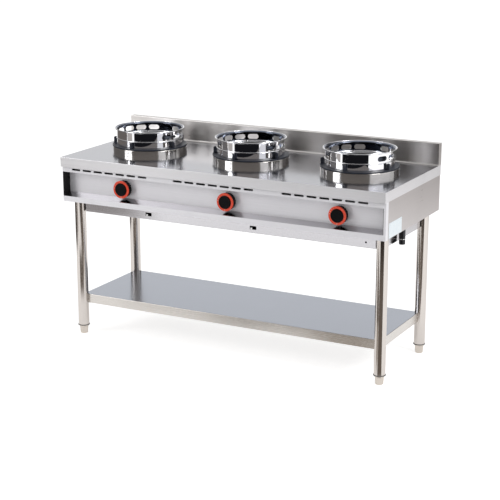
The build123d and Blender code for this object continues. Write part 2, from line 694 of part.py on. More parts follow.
def make_burner_mixer():
    """Air and gas mixing tube: a horizontal venturi with an elbow up to the head."""
    neck_bottom = BRACKET_TOP - HEAD_NECK_LENGTH
    rise = neck_bottom - MIXER_AXIS_HEIGHT
    elbow = (0, BURNER_Y, MIXER_AXIS_HEIGHT)
    outside = rod(MIXER_RADIUS, elbow, (0, -1, 0), MIXER_LENGTH)
    outside += rod(MIXER_RADIUS, elbow, (0, 0, 1), rise)
    outside += Pos(*elbow) * Sphere(MIXER_RADIUS)
    mouth = Pos(0, MIXER_MOUTH_Y + MIXER_MOUTH_LENGTH / 2, MIXER_AXIS_HEIGHT) * Rot(90, 0, 0)
    outside += mouth * Cone(MIXER_RADIUS, MIXER_MOUTH_RADIUS, MIXER_MOUTH_LENGTH)
    flare = MIXER_BORE + MIXER_MOUTH_RADIUS - MIXER_RADIUS
    outside -= mouth * Cone(MIXER_BORE, flare, MIXER_MOUTH_LENGTH)
    outside -= rod(MIXER_BORE, elbow, (0, -1, 0), MIXER_LENGTH + CUT)
    outside -= rod(MIXER_BORE, elbow, (0, 0, 1), rise + CUT)
    return outside - Pos(*elbow) * Sphere(MIXER_BORE)


def make_pilot_burner(x):
    """Pilot burner that stands on the bracket in front of the head."""
    place = (x + PILOT_OFFSET[0], BURNER_Y + PILOT_OFFSET[1], BRACKET_TOP)
    tip_base = PILOT_HEIGHT - PILOT_TIP_HEIGHT
    outline = polygon(
        (0, 0),
        (PILOT_RADIUS, 0),
        (PILOT_RADIUS, tip_base),
        (PILOT_TIP_RADIUS, tip_base),
        (PILOT_TIP_RADIUS, PILOT_HEIGHT - PILOT_TIP_CHAMFER),
        (PILOT_TIP_RADIUS - PILOT_TIP_CHAMFER, PILOT_HEIGHT),
        (0, PILOT_HEIGHT),
    )
    return Pos(*place) * turned(outline)


def make_gas_valve(x):
    """Gas tap with a bored nose for the stem and a leg that seats on the manifold."""
    axis = (x, VALVE_NOSE_Y, VALVE_AXIS_HEIGHT)
    valve = rod(VALVE_RADIUS, axis, (0, 1, 0), VALVE_LENGTH)
    leg_length = VALVE_AXIS_HEIGHT - MANIFOLD_AXIS_HEIGHT
    valve += rod(VALVE_LEG_RADIUS, (x, MANIFOLD_Y, MANIFOLD_AXIS_HEIGHT), (0, 0, 1), leg_length)
    half_saddle = VALVE_RADIUS + CUT
    start = (x - half_saddle, MANIFOLD_Y, MANIFOLD_AXIS_HEIGHT)
    valve -= rod(MANIFOLD_RADIUS + TIGHT_GAP, start, (1, 0, 0), 2 * half_saddle)
    return valve - rod(STEM_RADIUS + STEM_FIT, axis, (0, 1, 0), STEM_IN_VALVE + LOOSE_GAP)


def make_valve_stem(x):
    """Stem that turns the tap; the knob rides on its front end."""
    start_y = KNOB_BACK_Y - STEM_IN_KNOB
    start = (x, start_y, VALVE_AXIS_HEIGHT)
    return rod(STEM_RADIUS, start, (0, 1, 0), VALVE_NOSE_Y + STEM_IN_VALVE - start_y)


def make_knob(x):
    """Knob with a wide base, a smaller cap in front and a blind bore for the stem."""
    front = KNOB_BODY_LENGTH + KNOB_CAP_HEIGHT
    shape = rod(KNOB_RADIUS, (0, 0, 0), (0, -1, 0), KNOB_BODY_LENGTH)
    shape += rod(KNOB_CAP_RADIUS, (0, 0, 0), (0, -1, 0), front)
    shape = fillet(shape.edges().group_by(Axis.Y)[0], KNOB_CAP_ROUND)
    depth = STEM_IN_KNOB + KNOB_TRAVEL + KNOB_BORE_SPARE
    shape -= rod(STEM_RADIUS + STEM_FIT, (0, CUT, 0), (0, -1, 0), depth + CUT)
    return Pos(x, KNOB_BACK_Y, VALVE_AXIS_HEIGHT) * shape


def make_knob_ring(x):
    """Coloured ring on the front of the knob's base, notched at its off mark."""
    back = KNOB_BACK_Y - KNOB_BODY_LENGTH
    start = (x, back, VALVE_AXIS_HEIGHT)
    ring = rod(KNOB_RING_RADIUS, start, (0, -1, 0), KNOB_RING_THICKNESS)
    ring -= rod(KNOB_CAP_RADIUS + TIGHT_GAP, start, (0, -1, 0), KNOB_RING_THICKNESS)
    front = back - KNOB_RING_THICKNESS
    outer_z = VALVE_AXIS_HEIGHT - KNOB_RING_RADIUS
    return ring - block(
        (x - KNOB_NOTCH_WIDTH / 2, x + KNOB_NOTCH_WIDTH / 2),
        (front - CUT, front + KNOB_NOTCH_DEPTH),
        (outer_z - CUT, outer_z + KNOB_NOTCH_LENGTH),
    )


def make_gas_manifold():
    """Gas rail behind the fascia that bends back and down to the inlet."""
    left_end = BURNER_XS[0] - MANIFOLD_END_MARGIN
    points = [
        (left_end, MANIFOLD_Y, MANIFOLD_AXIS_HEIGHT),
        (INLET_X, MANIFOLD_Y, MANIFOLD_AXIS_HEIGHT),
        (INLET_X, INLET_Y, MANIFOLD_AXIS_HEIGHT + MANIFOLD_BEND),
        (INLET_X, INLET_Y, INLET_JOINT),
    ]
    bore = MANIFOLD_RADIUS - MANIFOLD_WALL
    pipe = tube_along(points, MANIFOLD_BEND, MANIFOLD_RADIUS, bore)
    return pipe + rod(MANIFOLD_RADIUS, points[0], (1, 0, 0), MANIFOLD_WALL)


def make_gas_inlet():
    """Gas inlet nipple that comes out under the right-hand side of the casing."""
    bore = MANIFOLD_RADIUS - MANIFOLD_WALL
    top = INLET_JOINT - INLET_BOTTOM
    threaded = rectangle((bore, 0), (INLET_THREAD_RADIUS, INLET_THREAD_LENGTH))
    plain = rectangle((bore, INLET_THREAD_LENGTH), (MANIFOLD_RADIUS, top))
    return Pos(INLET_X, INLET_Y, INLET_BOTTOM) * turned(threaded, plain)


def make_gas_feed(x):
    """Feed pipe from one gas tap to the jet of its burner."""
    valve_end_y = VALVE_NOSE_Y + VALVE_LENGTH
    jet_back_y = MIXER_MOUTH_Y - JET_MOUTH_GAP - JET_LENGTH
    mid_y = (valve_end_y + jet_back_y) / 2
    points = [
        (x + VALVE_OFFSET, valve_end_y, VALVE_AXIS_HEIGHT),
        (x + VALVE_OFFSET, mid_y, VALVE_AXIS_HEIGHT),
        (x, mid_y, MIXER_AXIS_HEIGHT),
        (x, jet_back_y, MIXER_AXIS_HEIGHT),
    ]
    return tube_along(points, FEED_BEND, FEED_RADIUS)


def make_gas_jet(x):
    """Brass jet in front of the mixer's mouth."""
    start = (x, MIXER_MOUTH_Y - JET_MOUTH_GAP - JET_LENGTH, MIXER_AXIS_HEIGHT)
    body = rod(JET_RADIUS, start, (0, 1, 0), JET_BODY_LENGTH)
    return body + rod(JET_NOZZLE_RADIUS, start, (0, 1, 0), JET_LENGTH)


def make_leg(x, y):
    """Round tube leg, open at its foot and capped by the bracket."""
    tube = rectangle((LEG_RADIUS - LEG_WALL, FOOT_HEIGHT), (LEG_RADIUS, LEG_TOP))
    return Pos(x, y, 0) * turned(tube)


def make_leg_bracket(x, y):
    """Cap of one leg with two tabs that reach into the rails."""
    half = LEG_CAP_SIZE / 2
    bracket = block((-half, half), (-half, half), (LEG_TOP, BODY_BOTTOM))
    tab_top = BODY_BOTTOM - SHEET - TIGHT_GAP
    tab_heights = (tab_top - BRACKET_TAB_HEIGHT, tab_top)
    reach = (LEG_RADIUS + TIGHT_GAP, BRACKET_TAB_REACH)
    thick = (SHEET + TIGHT_GAP, SHEET + TIGHT_GAP + LEG_CAP_THICKNESS)
    bracket += block(reach, thick, tab_heights)
    bracket += block(thick, reach, tab_heights)
    if x > 0:
        bracket = mirror(bracket, Plane.YZ)
    if y > 0:
        bracket = mirror(bracket, Plane.XZ)
    return Pos(x, y, 0) * bracket


def rail_face():
    """Box section of a rail, its outer face on the section's own vertical axis."""
    outside = rectangle((0, RAIL_BOTTOM), (RAIL_DEPTH, BODY_BOTTOM))
    inside = rectangle((SHEET, RAIL_BOTTOM + SHEET), (RAIL_DEPTH - SHEET, BODY_BOTTOM - SHEET))
    return outside - inside


def make_long_rail(side):
    """Rail along the front (-1) or the rear (1). The front one has an access hole under
    each fixing, a small round one under the last."""
    rail = Pos(0, -LEG_Y, 0) * along_x(rail_face(), -RAIL_HALF_X, RAIL_HALF_X)
    if side > 0:
        rail = mirror(rail, Plane.XZ)
    else:
        notch_top = BODY_BOTTOM - NOTCH_TOP_MARGIN
        for x in FIXING_XS[:-1]:
            rail -= block(
                (x - NOTCH_WIDTH / 2, x + NOTCH_WIDTH / 2),
                (-LEG_Y - CUT, -LEG_Y + SHEET + CUT),
                (notch_top - NOTCH_HEIGHT, notch_top),
            )
        hole_start = (FIXING_XS[-1], -LEG_Y - CUT, notch_top - NOTCH_HEIGHT / 2)
        rail -= rod(PEEP_HOLE_RADIUS, hole_start, (0, 1, 0), SHEET + 2 * CUT)
    return rail - fixing_holes()


def make_side_rail(side):
    """Rail between the front and rear legs of one side."""
    rail = Pos(-LEG_X, 0, 0) * along_y(rail_face(), -RAIL_HALF_Y, RAIL_HALF_Y)
    return mirror(rail, Plane.YZ) if side > 0 else rail


def make_undershelf():
    """Shelf with turned-down lips, its corners cut round the legs."""
    half_x = WIDTH / 2 - SHELF_INSET_X
    half_y = DEPTH / 2 - SHELF_INSET_Y
    low = SHELF_HEIGHT - SHELF_LIP
    shelf = block((-half_x, half_x), (-half_y, half_y), (low, SHELF_HEIGHT))
    shelf -= block(
        (-half_x + SHEET, half_x - SHEET),
        (-half_y + SHEET, half_y - SHEET),
        (low - CUT, SHELF_HEIGHT - SHEET),
    )
    for x, y in CORNERS.values():
        shelf -= rod(LEG_RADIUS + TIGHT_GAP, (x, y, low - CUT), (0, 0, 1), SHELF_LIP + 2 * CUT)
    return shelf


def make_shelf_stiffener(y):
    """Hat section under the shelf."""
    top = SHELF_HEIGHT - SHEET
    half = STIFFENER_WIDTH / 2
    outline = [
        (y - half - STIFFENER_FLANGE, top),
        (y - half, top),
        (y - half, top - STIFFENER_HEIGHT),
        (y + half, top - STIFFENER_HEIGHT),
        (y + half, top),
        (y + half + STIFFENER_FLANGE, top),
    ]
    half_x = WIDTH / 2 - SHELF_INSET_X - STIFFENER_END_MARGIN
    section = folded_face([(py, pz - SHEET) for py, pz in outline], SHEET)
    return along_x(section, -half_x, half_x)


def make_leg_insert(x, y):
    """Plug in the bottom of a leg, with a flange under the tube and a bore for the stud."""
    bore = STUD_RADIUS + STUD_FIT
    plug_radius = LEG_RADIUS - LEG_WALL - STUD_FIT
    plug = rectangle((bore, FOOT_HEIGHT), (plug_radius, FOOT_HEIGHT + INSERT_HEIGHT))
    flange_bottom = FOOT_HEIGHT - INSERT_FLANGE_HEIGHT
    flange = rectangle((bore, flange_bottom), (INSERT_FLANGE_RADIUS, FOOT_HEIGHT))
    return Pos(x, y, 0) * turned(plug, flange)


def make_foot(x, y):
    """Bullet-shaped foot with its stud."""
    top = FOOT_HEIGHT - INSERT_FLANGE_HEIGHT - LOOSE_GAP
    band_bottom = top - FOOT_BAND_HEIGHT
    outline = polygon(
        (0, 0),
        (FOOT_BOTTOM_RADIUS - FOOT_EDGE_ROUND, 0),
        (FOOT_BOTTOM_RADIUS, FOOT_EDGE_ROUND),
        (FOOT_TOP_RADIUS, band_bottom),
        (FOOT_BAND_RADIUS, band_bottom + FOOT_BAND_RADIUS - FOOT_TOP_RADIUS),
        (FOOT_BAND_RADIUS, top),
        (STUD_RADIUS, top),
        (STUD_RADIUS, top + STUD_LENGTH),
        (0, top + STUD_LENGTH),
    )
    return Pos(x, y, 0) * turned(outline)


def dome_screw(start, direction):
    """Round-headed screw whose head sits on a surface at the start and points out."""
    plane = Plane(origin=start, z_dir=direction)
    head = Cylinder(SCREW_HEAD_RADIUS, SCREW_HEAD_HEIGHT)
    head = fillet(head.edges().group_by(Axis.Z)[-1], SCREW_HEAD_ROUND)
    shape = Pos(0, 0, SCREW_HEAD_HEIGHT / 2) * head
    shape += rod(SCREW_RADIUS, (0, 0, 0), (0, 0, -1), SCREW_LENGTH)
    return plane * shape


def make_dome_screws():
    """Screws of the collars and of the rear panel."""
    z = WORKTOP_HEIGHT + COLLAR_SCREW_HEIGHT
    seat = COLLAR_RADIUS
    screws = [
        dome_screw((x + seat * dx, BURNER_Y + seat * dy, z), (dx, dy, 0))
        for x in BURNER_XS
        for dx, dy in collar_screw_directions()
    ]
    screws += [
        dome_screw((rear_screw_x(side), RETURN_REAR_Y, height), (0, 1, 0))
        for side in (-1, 1)
        for height in REAR_SCREW_HEIGHTS
    ]
    return group(screws)


def stand_bolt(x, y):
    """Hexagon bolt from below through the rail and the base pan, with its nut."""
    hexagon = RegularPolygon(BOLT_HEX_FLATS / 2, 6, major_radius=False)
    low = BODY_BOTTOM - SHEET - BOLT_HEAD_HEIGHT
    nut_base = BODY_BOTTOM + SHEET
    bolt = Pos(0, 0, low) * extrude(hexagon, amount=BOLT_HEAD_HEIGHT)
    bolt += rod(BOLT_RADIUS, (0, 0, low), (0, 0, 1), nut_base + 2 * BOLT_HEAD_HEIGHT - low)
    bolt += Pos(0, 0, nut_base) * extrude(hexagon, amount=BOLT_HEAD_HEIGHT)
    return Pos(x, y, 0) * bolt


def group(pieces):
    """Several separate solids in one node."""
    return Compound([piece.solid() for piece in pieces])


def make_nodes():
    """Every node of the range by name."""
    nodes = {
        "worktop": make_worktop(),
        "backsplash": make_backsplash(),
        "side_panel_left": make_side_panel(-1),
        "side_panel_right": make_side_panel(1),
        "rear_panel": make_rear_panel(),
        "control_panel": make_control_panel(),
        "recess_end_caps": make_recess_end_caps(),
        "base_pan": make_base_pan(),
        "rating_plate": make_rating_plate(),
        "dome_screws": make_dome_screws(),
        "gas_manifold": make_gas_manifold(),
        "gas_inlet": make_gas_inlet(),
        "front_rail": make_long_rail(-1),
        "rear_rail": make_long_rail(1),
        "side_rail_left": make_side_rail(-1),
        "side_rail_right": make_side_rail(1),
        "undershelf": make_undershelf(),
    }
    for number, x in enumerate(BURNER_XS, 1):
        place = Pos(x, BURNER_Y, 0)
        tap_x = x + VALVE_OFFSET
        nodes[f"burner_collar_{number}"] = place * make_burner_collar()
        nodes[f"pan_support_{number}"] = place * make_pan_support()
        nodes[f"wok_ring_{number}"] = place * make_wok_ring()
        nodes[f"burner_head_{number}"] = place * make_burner_head()
        nodes[f"burner_mixer_{number}"] = Pos(x, 0, 0) * make_burner_mixer()
        nodes[f"gas_valve_{number}"] = make_gas_valve(tap_x)
        nodes[f"valve_stem_{number}"] = make_valve_stem(tap_x)
        nodes[f"knob_{number}"] = make_knob(tap_x)
        nodes[f"knob_ring_{number}"] = make_knob_ring(tap_x)
    for name, (x, y) in CORNERS.items():
        nodes[f"leg_{name}"] = make_leg(x, y)
        nodes[f"foot_{name}"] = make_foot(x, y)
    corners = CORNERS.values()
    stiffener_ys = (-STIFFENER_SPACING / 2, STIFFENER_SPACING / 2)
    nodes["leg_brackets"] = group(make_leg_bracket(x, y) for x, y in corners)
    nodes["leg_inserts"] = group(make_leg_insert(x, y) for x, y in corners)
    nodes["shelf_stiffeners"] = group(make_shelf_stiffener(y) for y in stiffener_ys)
    nodes["stand_bolts"] = group(
        stand_bolt(x, y) for x in FIXING_XS for y in (-FIXING_Y, FIXING_Y)
    )
    nodes["burner_brackets"] = group(make_burner_bracket(x) for x in BURNER_XS)
    nodes["pilot_burners"] = group(make_pilot_burner(x) for x in BURNER_XS)
    nodes["gas_jets"] = group(make_gas_jet(x) for x in BURNER_XS)
    nodes["gas_feeds"] = group(make_gas_feed(x) for x in BURNER_XS)
    return nodes


os.makedirs("parts", exist_ok=True)
for node_name, node_shape in make_nodes().items():
    export_step(node_shape, f"parts/{node_name}.step")
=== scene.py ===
"""Looks of a gas wok range: studio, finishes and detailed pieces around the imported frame.

Every length is in metres, in the frame of the part: the origin is on the floor under the
middle, X runs to the right, Y to the rear and Z up.
"""

import logging
import math
from collections.abc import Callable
from dataclasses import dataclass, field, replace
from enum import Enum

import bmesh
import bpy
from bmesh.types import BMesh, BMFace, BMVert
from bpy.types import NodeSocket, Object
from mathutils import Matrix, Vector


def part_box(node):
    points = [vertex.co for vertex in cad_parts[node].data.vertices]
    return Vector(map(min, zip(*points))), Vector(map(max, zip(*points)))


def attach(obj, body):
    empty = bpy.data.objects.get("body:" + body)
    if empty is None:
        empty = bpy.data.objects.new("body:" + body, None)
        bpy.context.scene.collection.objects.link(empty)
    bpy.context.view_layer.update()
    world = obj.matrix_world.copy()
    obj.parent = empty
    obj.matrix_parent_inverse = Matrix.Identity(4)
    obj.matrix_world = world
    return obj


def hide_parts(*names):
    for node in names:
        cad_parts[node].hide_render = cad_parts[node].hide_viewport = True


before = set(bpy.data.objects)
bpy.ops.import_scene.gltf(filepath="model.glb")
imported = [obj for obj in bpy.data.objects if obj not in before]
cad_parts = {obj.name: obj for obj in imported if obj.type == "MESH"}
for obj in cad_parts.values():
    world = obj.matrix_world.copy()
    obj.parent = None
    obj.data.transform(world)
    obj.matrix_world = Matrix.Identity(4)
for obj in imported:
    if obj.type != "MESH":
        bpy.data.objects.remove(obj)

LOG = logging.getLogger("wok_range")
Triple = tuple[float, float, float]
Block = tuple[Triple, Triple]
ORIGIN: Triple = (0.0, 0.0, 0.0)
UP: Triple = (0.0, 0.0, 1.0)
FULL_TURN = 2 * math.pi
QUARTER_TURN = math.pi / 2
USUAL_NOISE = (0.3, 0.7)


class Graph:
    """Node tree of a material or of the world, with short ways to add nodes and links."""

    def __init__(self, owner: bpy.types.Material | bpy.types.World) -> None:
        """Empties the owner's node tree down to its output node.

        Args:
            owner: a new material or world.
        """
        owner.use_nodes = True
        self.owner = owner
        self.tree = owner.node_tree
        self.tree.nodes.clear()
        kind = "World" if isinstance(owner, bpy.types.World) else "Material"
        self.output = self.node(f"Output{kind}").inputs["Surface"]

    def node(self, kind: str, inputs: dict[str | int, object] | None = None,
             **settings: object) -> bpy.types.Node:
        """Adds a node.

        Args:
            kind: type name of the node, without the ShaderNode in front.
            inputs: sockets to link or values to set, by the input's name or number.
            settings: attributes to set on it.

        Returns:
            The new node.
        """
        node = self.tree.nodes.new(f"ShaderNode{kind}")
        for key, value in settings.items():
            setattr(node, key, value)
        for key, value in (inputs or {}).items():
            if isinstance(value, NodeSocket):
                self.link(value, node.inputs[key])
            else:
                node.inputs[key].default_value = value
        return node

    def link(self, source: NodeSocket, target: NodeSocket) -> None:
        """Joins an output socket to an input socket."""
        self.tree.links.new(source, target)

    def maths(self, operation: str, *values: object) -> NodeSocket:
        """Result of a Math node on sockets or numbers."""
        return self.node("Math", dict(enumerate(values)), operation=operation).outputs["Value"]

    def vector(self, operation: str, *values: object) -> NodeSocket:
        """Result of a Vector Math node on sockets or triples."""
        inputs = dict(enumerate(values))
        return self.node("VectorMath", inputs, operation=operation).outputs["Vector"]

    def object_space(self, centre: Triple = ORIGIN, scale: Triple = (1.0, 1.0, 1.0)
                     ) -> NodeSocket:
        """Object coordinates measured from a centre.

        Args:
            centre: point that becomes the pattern's origin.
            scale: factor along each axis.

        Returns:
            The vector socket of the Mapping node.
        """
        return self.node("Mapping", {
            "Vector": self.node("TexCoord").outputs["Object"],
            "Location": [-c * s for c, s in zip(centre, scale)],
            "Scale": scale,
        }).outputs["Vector"]

    def reach(self, x: NodeSocket, y: NodeSocket) -> NodeSocket:
        """Distance from the Z axis."""
        squares = [self.maths("MULTIPLY", part, part) for part in (x, y)]
        return self.maths("SQRT", self.maths("ADD", *squares))

    def noise(self, vector: NodeSocket, scale: float, detail: float = 2.0) -> NodeSocket:
        """Noise over a vector, with a frequency and a number of finer layers."""
        inputs = {"Vector": vector, "Scale": scale, "Detail": detail}
        return self.node("TexNoise", inputs).outputs["Fac"]

    def ramp(self, value: NodeSocket, low: float, high: float) -> NodeSocket:
        """Maps a noise value, which stays near one half, to a range.

        Args:
            value: the noise value.
            low: result at its usual lowest value.
            high: result at its usual highest value.

        Returns:
            The mapped value's socket.
        """
        return self.node("MapRange", {
            "Value": value, "From Min": USUAL_NOISE[0], "From Max": USUAL_NOISE[1],
            "To Min": low, "To Max": high,
        }).outputs["Result"]

    def step(self, value: NodeSocket, start: float, end: float) -> NodeSocket:
        """Rises smoothly from 0 at the start to 1 at the end."""
        inputs = {"Value": value, "From Min": start, "From Max": end}
        return self.node("MapRange", inputs, interpolation_type="SMOOTHSTEP").outputs["Result"]

    def blend(self, factor: NodeSocket, low: Triple, high: Triple) -> NodeSocket:
        """Mixes two colours.

        Args:
            factor: share of the second colour.
            low: first colour.
            high: second colour.

        Returns:
            The mixed colour's socket.
        """
        mix = self.node("Mix", {"Factor": factor}, data_type="RGBA")
        first, second = [socket for socket in mix.inputs if socket.type == "RGBA"]
        first.default_value, second.default_value = (*low, 1.0), (*high, 1.0)
        return next(socket for socket in mix.outputs if socket.type == "RGBA")

    def relief(self, height: NodeSocket, strength: float, depth: float) -> NodeSocket:
        """Normal of a surface with a fine relief."""
        inputs = {"Height": height, "Strength": strength, "Distance": depth}
        return self.node("Bump", inputs).outputs["Normal"]

    def seen(self) -> NodeSocket:
        """Tells rays that show a picture from those that bring light.

        Returns:
            A socket that is 1 for the camera, in polished metal and through glass.
        """
        path = self.node("LightPath").outputs
        mirrored = self.maths("MAXIMUM", path["Is Glossy Ray"], path["Is Transmission Ray"])
        return self.maths("MAXIMUM", path["Is Camera Ray"], mirrored)


class Grain(Enum):
    """Direction in which a steel surface is brushed."""

    ALONG_X = (1.0, 0.0, 0.0)
    ALONG_Y = (0.0, 1.0, 0.0)
    ALONG_Z = (0.0, 0.0, 1.0)
    AROUND = (0.0, 0.0, 0.0)


@dataclass(frozen=True)
class Finish:
    """A finish with its slot's name; a key tells apart several finishes of one slot."""

    name: str
    key: str = field(default="", kw_only=True)

    def material(self) -> bpy.types.Material:
        """Builds the finish once.

        Returns:
            The finish's material.
        """
        label = f"finish_{self.key or self.name}"
        if label not in bpy.data.materials:
            graph = Graph(bpy.data.materials.new(label))
            shader = graph.node("BsdfPrincipled", self.surface(graph))
            graph.link(shader.outputs["BSDF"], graph.output)
        return bpy.data.materials[label]

    def surface(self, graph: Graph) -> dict[str, object]:
        """Values and sockets of the shader's inputs, which each kind of finish gives."""
        raise NotImplementedError


@dataclass(frozen=True)
class Steel(Finish):
    """Stainless steel with a brushed or turned grain, worn a little unevenly."""

    tint: Triple
    roughness: float
    grain: Grain = Grain.ALONG_X
    spread: float = 0.5
    uneven: float = 0.04
    scratch: float = 0.02
    scratch_depth: float = 0.0005
    stain: float = 0.08
    stain_scale: float = 7.0
    metallic: float = 1.0
    centre: Triple = ORIGIN
    lines_across: float = 420.0
    lines_along: float = 2.2
    lines_around: float = 1.5

    def grain_vector(self, graph: Graph) -> NodeSocket:
        """Unit vector along the grain at each point.

        Args:
            graph: node tree to add to.

        Returns:
            The vector's socket.
        """
        if self.grain is not Grain.AROUND:
            parts = dict(zip("XYZ", self.grain.value))
            return graph.node("CombineXYZ", parts).outputs["Vector"]
        around = graph.vector("CROSS_PRODUCT", UP, graph.object_space(self.centre))
        return graph.vector("NORMALIZE", around)

    def grain_space(self, graph: Graph) -> NodeSocket:
        """Coordinates that are stretched along the grain.

        Args:
            graph: node tree to add to.

        Returns:
            The vector's socket.
        """
        if self.grain is not Grain.AROUND:
            scale = (self.lines_along if part else self.lines_across
                     for part in self.grain.value)
            return graph.object_space(self.centre, tuple(scale))
        space = {"Vector": graph.object_space(self.centre)}
        x, y, z = graph.node("SeparateXYZ", space).outputs
        reach = graph.reach(x, y)
        turned = {axis: graph.maths("MULTIPLY", graph.maths("DIVIDE", part, reach),
                                    self.lines_around) for axis, part in (("X", x), ("Y", y))}
        turned["Z"] = graph.maths("MULTIPLY", graph.maths("ADD", reach, z), self.lines_across)
        return graph.node("CombineXYZ", turned).outputs["Vector"]

    def surface(self, graph: Graph) -> dict[str, object]:
        """Grain lines and soft clouds that vary the tint, the polish and the relief.

        Args:
            graph: node tree to add to.

        Returns:
            Values and sockets of the shader's inputs.
        """
        lines = graph.noise(self.grain_space(graph), 1.0)
        clouds = graph.noise(graph.object_space(self.centre), self.stain_scale, detail=3.0)
        shade = graph.maths("MULTIPLY", graph.maths("ADD", lines, clouds), 0.5)
        stained = tuple(part * (1.0 - self.stain) for part in self.tint)
        inputs = {
            "Metallic": self.metallic,
            "Anisotropic": self.spread,
            "Base Color": graph.blend(graph.ramp(shade, 0.0, 1.0), stained, self.tint),
            "Roughness": graph.maths(
                "ADD",
                graph.ramp(lines, self.roughness - self.uneven, self.roughness + self.uneven),
                graph.ramp(clouds, -self.uneven / 2, self.uneven / 2)),
            "Normal": graph.relief(lines, self.scratch, self.scratch_depth),
        }
        if self.spread:
            normal = graph.node("NewGeometry").outputs["Normal"]
            inputs["Tangent"] = graph.vector("CROSS_PRODUCT", normal, self.grain_vector(graph))
        return inputs


@dataclass(frozen=True)
class Coated(Finish):
    """Plastic, enamel, paint or bare cast metal with a fine uneven skin."""

    light: Triple
    dark: Triple
    roughness: float
    uneven: float = 0.05
    metallic: float = 0.0
    mottle_scale: float = 60.0
    grit_scale: float = 720.0
    relief: float = 0.1
    relief_depth: float = 0.0004
    gloss: float = 0.5

    def surface(self, graph: Graph) -> dict[str, object]:
        """A mottled colour under a fine grit.

        Args:
            graph: node tree to add to.

        Returns:
            Values and sockets of the shader's inputs.
        """
        space = graph.object_space()
        mottle = graph.ramp(graph.noise(space, self.mottle_scale, detail=4.0), 0.0, 1.0)
        grit = graph.noise(space, self.grit_scale)
        rough = graph.ramp(grit, self.roughness - self.uneven, self.roughness + self.uneven)
        return {
            "Metallic": self.metallic,
            "Specular IOR Level": self.gloss,
            "Base Color": graph.blend(mottle, self.dark, self.light),
            "Roughness": rough,
            "Normal": graph.relief(grit, self.relief, self.relief_depth),
        }


# The worktop sheet in two copies: a dark one on its top faces, a painted shade, and a pale,
# half-matt one on its lip and sides, a painted light.
WORKTOP_TOP_SHADE = Steel("worktop_steel", (0.39, 0.395, 0.43), 0.13, uneven=0.03)
LIT_WORKTOP_EDGES = Steel("worktop_steel", (0.8, 0.79, 0.81), 0.3, spread=0.4, uneven=0.02,
                    metallic=0.5, key="lit_worktop_edges")
SPLASH_STEEL = Steel("splash_steel", (0.62, 0.6, 0.585), 0.3, spread=0.8, uneven=0.02)
# The fascia in two copies: a near-white, mostly matt one, a painted light, and a darker,
# polished one for the ledge, a painted shade.
PANEL_PAINTED_LIGHT = Steel("panel_steel", (0.9, 0.89, 0.925), 0.34, spread=0.2, uneven=0.03,
                    metallic=0.25)
LEDGE_IN_SHADE = Steel("panel_steel", (0.57, 0.56, 0.58), 0.15, spread=0.4, uneven=0.03,
                    key="ledge_in_shade")
CASING_STEEL = Steel("casing_steel", (0.61, 0.58, 0.575), 0.3, Grain.ALONG_Y, uneven=0.02)
# Dark steel: painted shade on faces inside the casing and on the parts hidden under it.
INNER_PAINTED_SHADE = Steel("inner_steel", (0.14, 0.14, 0.145), 0.4)
RAIL_STEEL = Steel("rail_steel", (0.54, 0.53, 0.55), 0.12, uneven=0.02)
# The shelf's top faces, under the body, get a darker bluish copy: a painted shade.
SHADED_SHELF_FACE = Steel("shelf_steel", (0.36, 0.385, 0.44), 0.2, spread=0.6, uneven=0.02)
SHELF_LIP = Steel("shelf_steel", (0.6, 0.57, 0.54), 0.26, key="shelf_lip")
LEG_STEEL = Steel("leg_steel", (0.57, 0.53, 0.5), 0.13, Grain.ALONG_Z, spread=0.2,
                  uneven=0.03)
CHROME = Steel("ring_steel", (0.88, 0.88, 0.9), 0.03, spread=0.0, uneven=0.012,
               scratch=0.0, stain=0.03)
# Dark bluish steel: painted shade on the wok rings' inner walls.
RING_INSIDE_SHADE = Steel("ring_steel", (0.2, 0.22, 0.27), 0.07, spread=0.0, uneven=0.02,
                    scratch=0.0, stain=0.2, key="ring_inside_shade")
COLLAR_STEEL = Steel("collar_steel", (0.68, 0.66, 0.63), 0.11, Grain.AROUND, spread=0.4)
NICKEL = Steel("foot_nickel", (0.56, 0.51, 0.46), 0.16, spread=0.0)
FIXINGS = Steel("fixings", (0.66, 0.66, 0.66), 0.2, spread=0.0)
CAST = Coated("cast", (0.034, 0.039, 0.055), (0.018, 0.02, 0.03), 0.4, relief=0.3, gloss=0.4)
# Near-black: painted shade on the recess's end caps, whose faces lie in shadow.
END_CAP_SHADE = Coated("black_paint", (0.006, 0.006, 0.006), (0.003, 0.003, 0.003), 0.4,
                     gloss=0.2)
PIPE_BLACK = Coated("pipe_black", (0.012, 0.012, 0.015), (0.005, 0.005, 0.007), 0.3,
                    gloss=0.4)
BRASS = Coated("brass", (0.6, 0.42, 0.16), (0.45, 0.3, 0.11), 0.3, metallic=1.0)
KNOB_BLACK = Coated("knob_black", (0.004, 0.004, 0.005), (0.002, 0.002, 0.0025), 0.34,
                    gloss=0.1)
KNOB_RED = Coated("knob_red", (0.86, 0.075, 0.025), (0.78, 0.055, 0.018), 0.26, relief=0.05)
# Pale pink: the pointer's colour, and a painted highlight on the four upper-left marks.
PALE_MARK_AND_HIGHLIGHT = Coated("knob_red", (0.86, 0.5, 0.4), (0.8, 0.42, 0.33), 0.4, relief=0.05,
                   key="pale_pointer_and_highlight")
PLATE = Coated("plate_blank", (0.86, 0.93, 0.97), (0.81, 0.89, 0.94), 0.3, relief=0.04)
INSERT = Coated("insert_grey", (0.16, 0.15, 0.14), (0.1, 0.095, 0.09), 0.4)

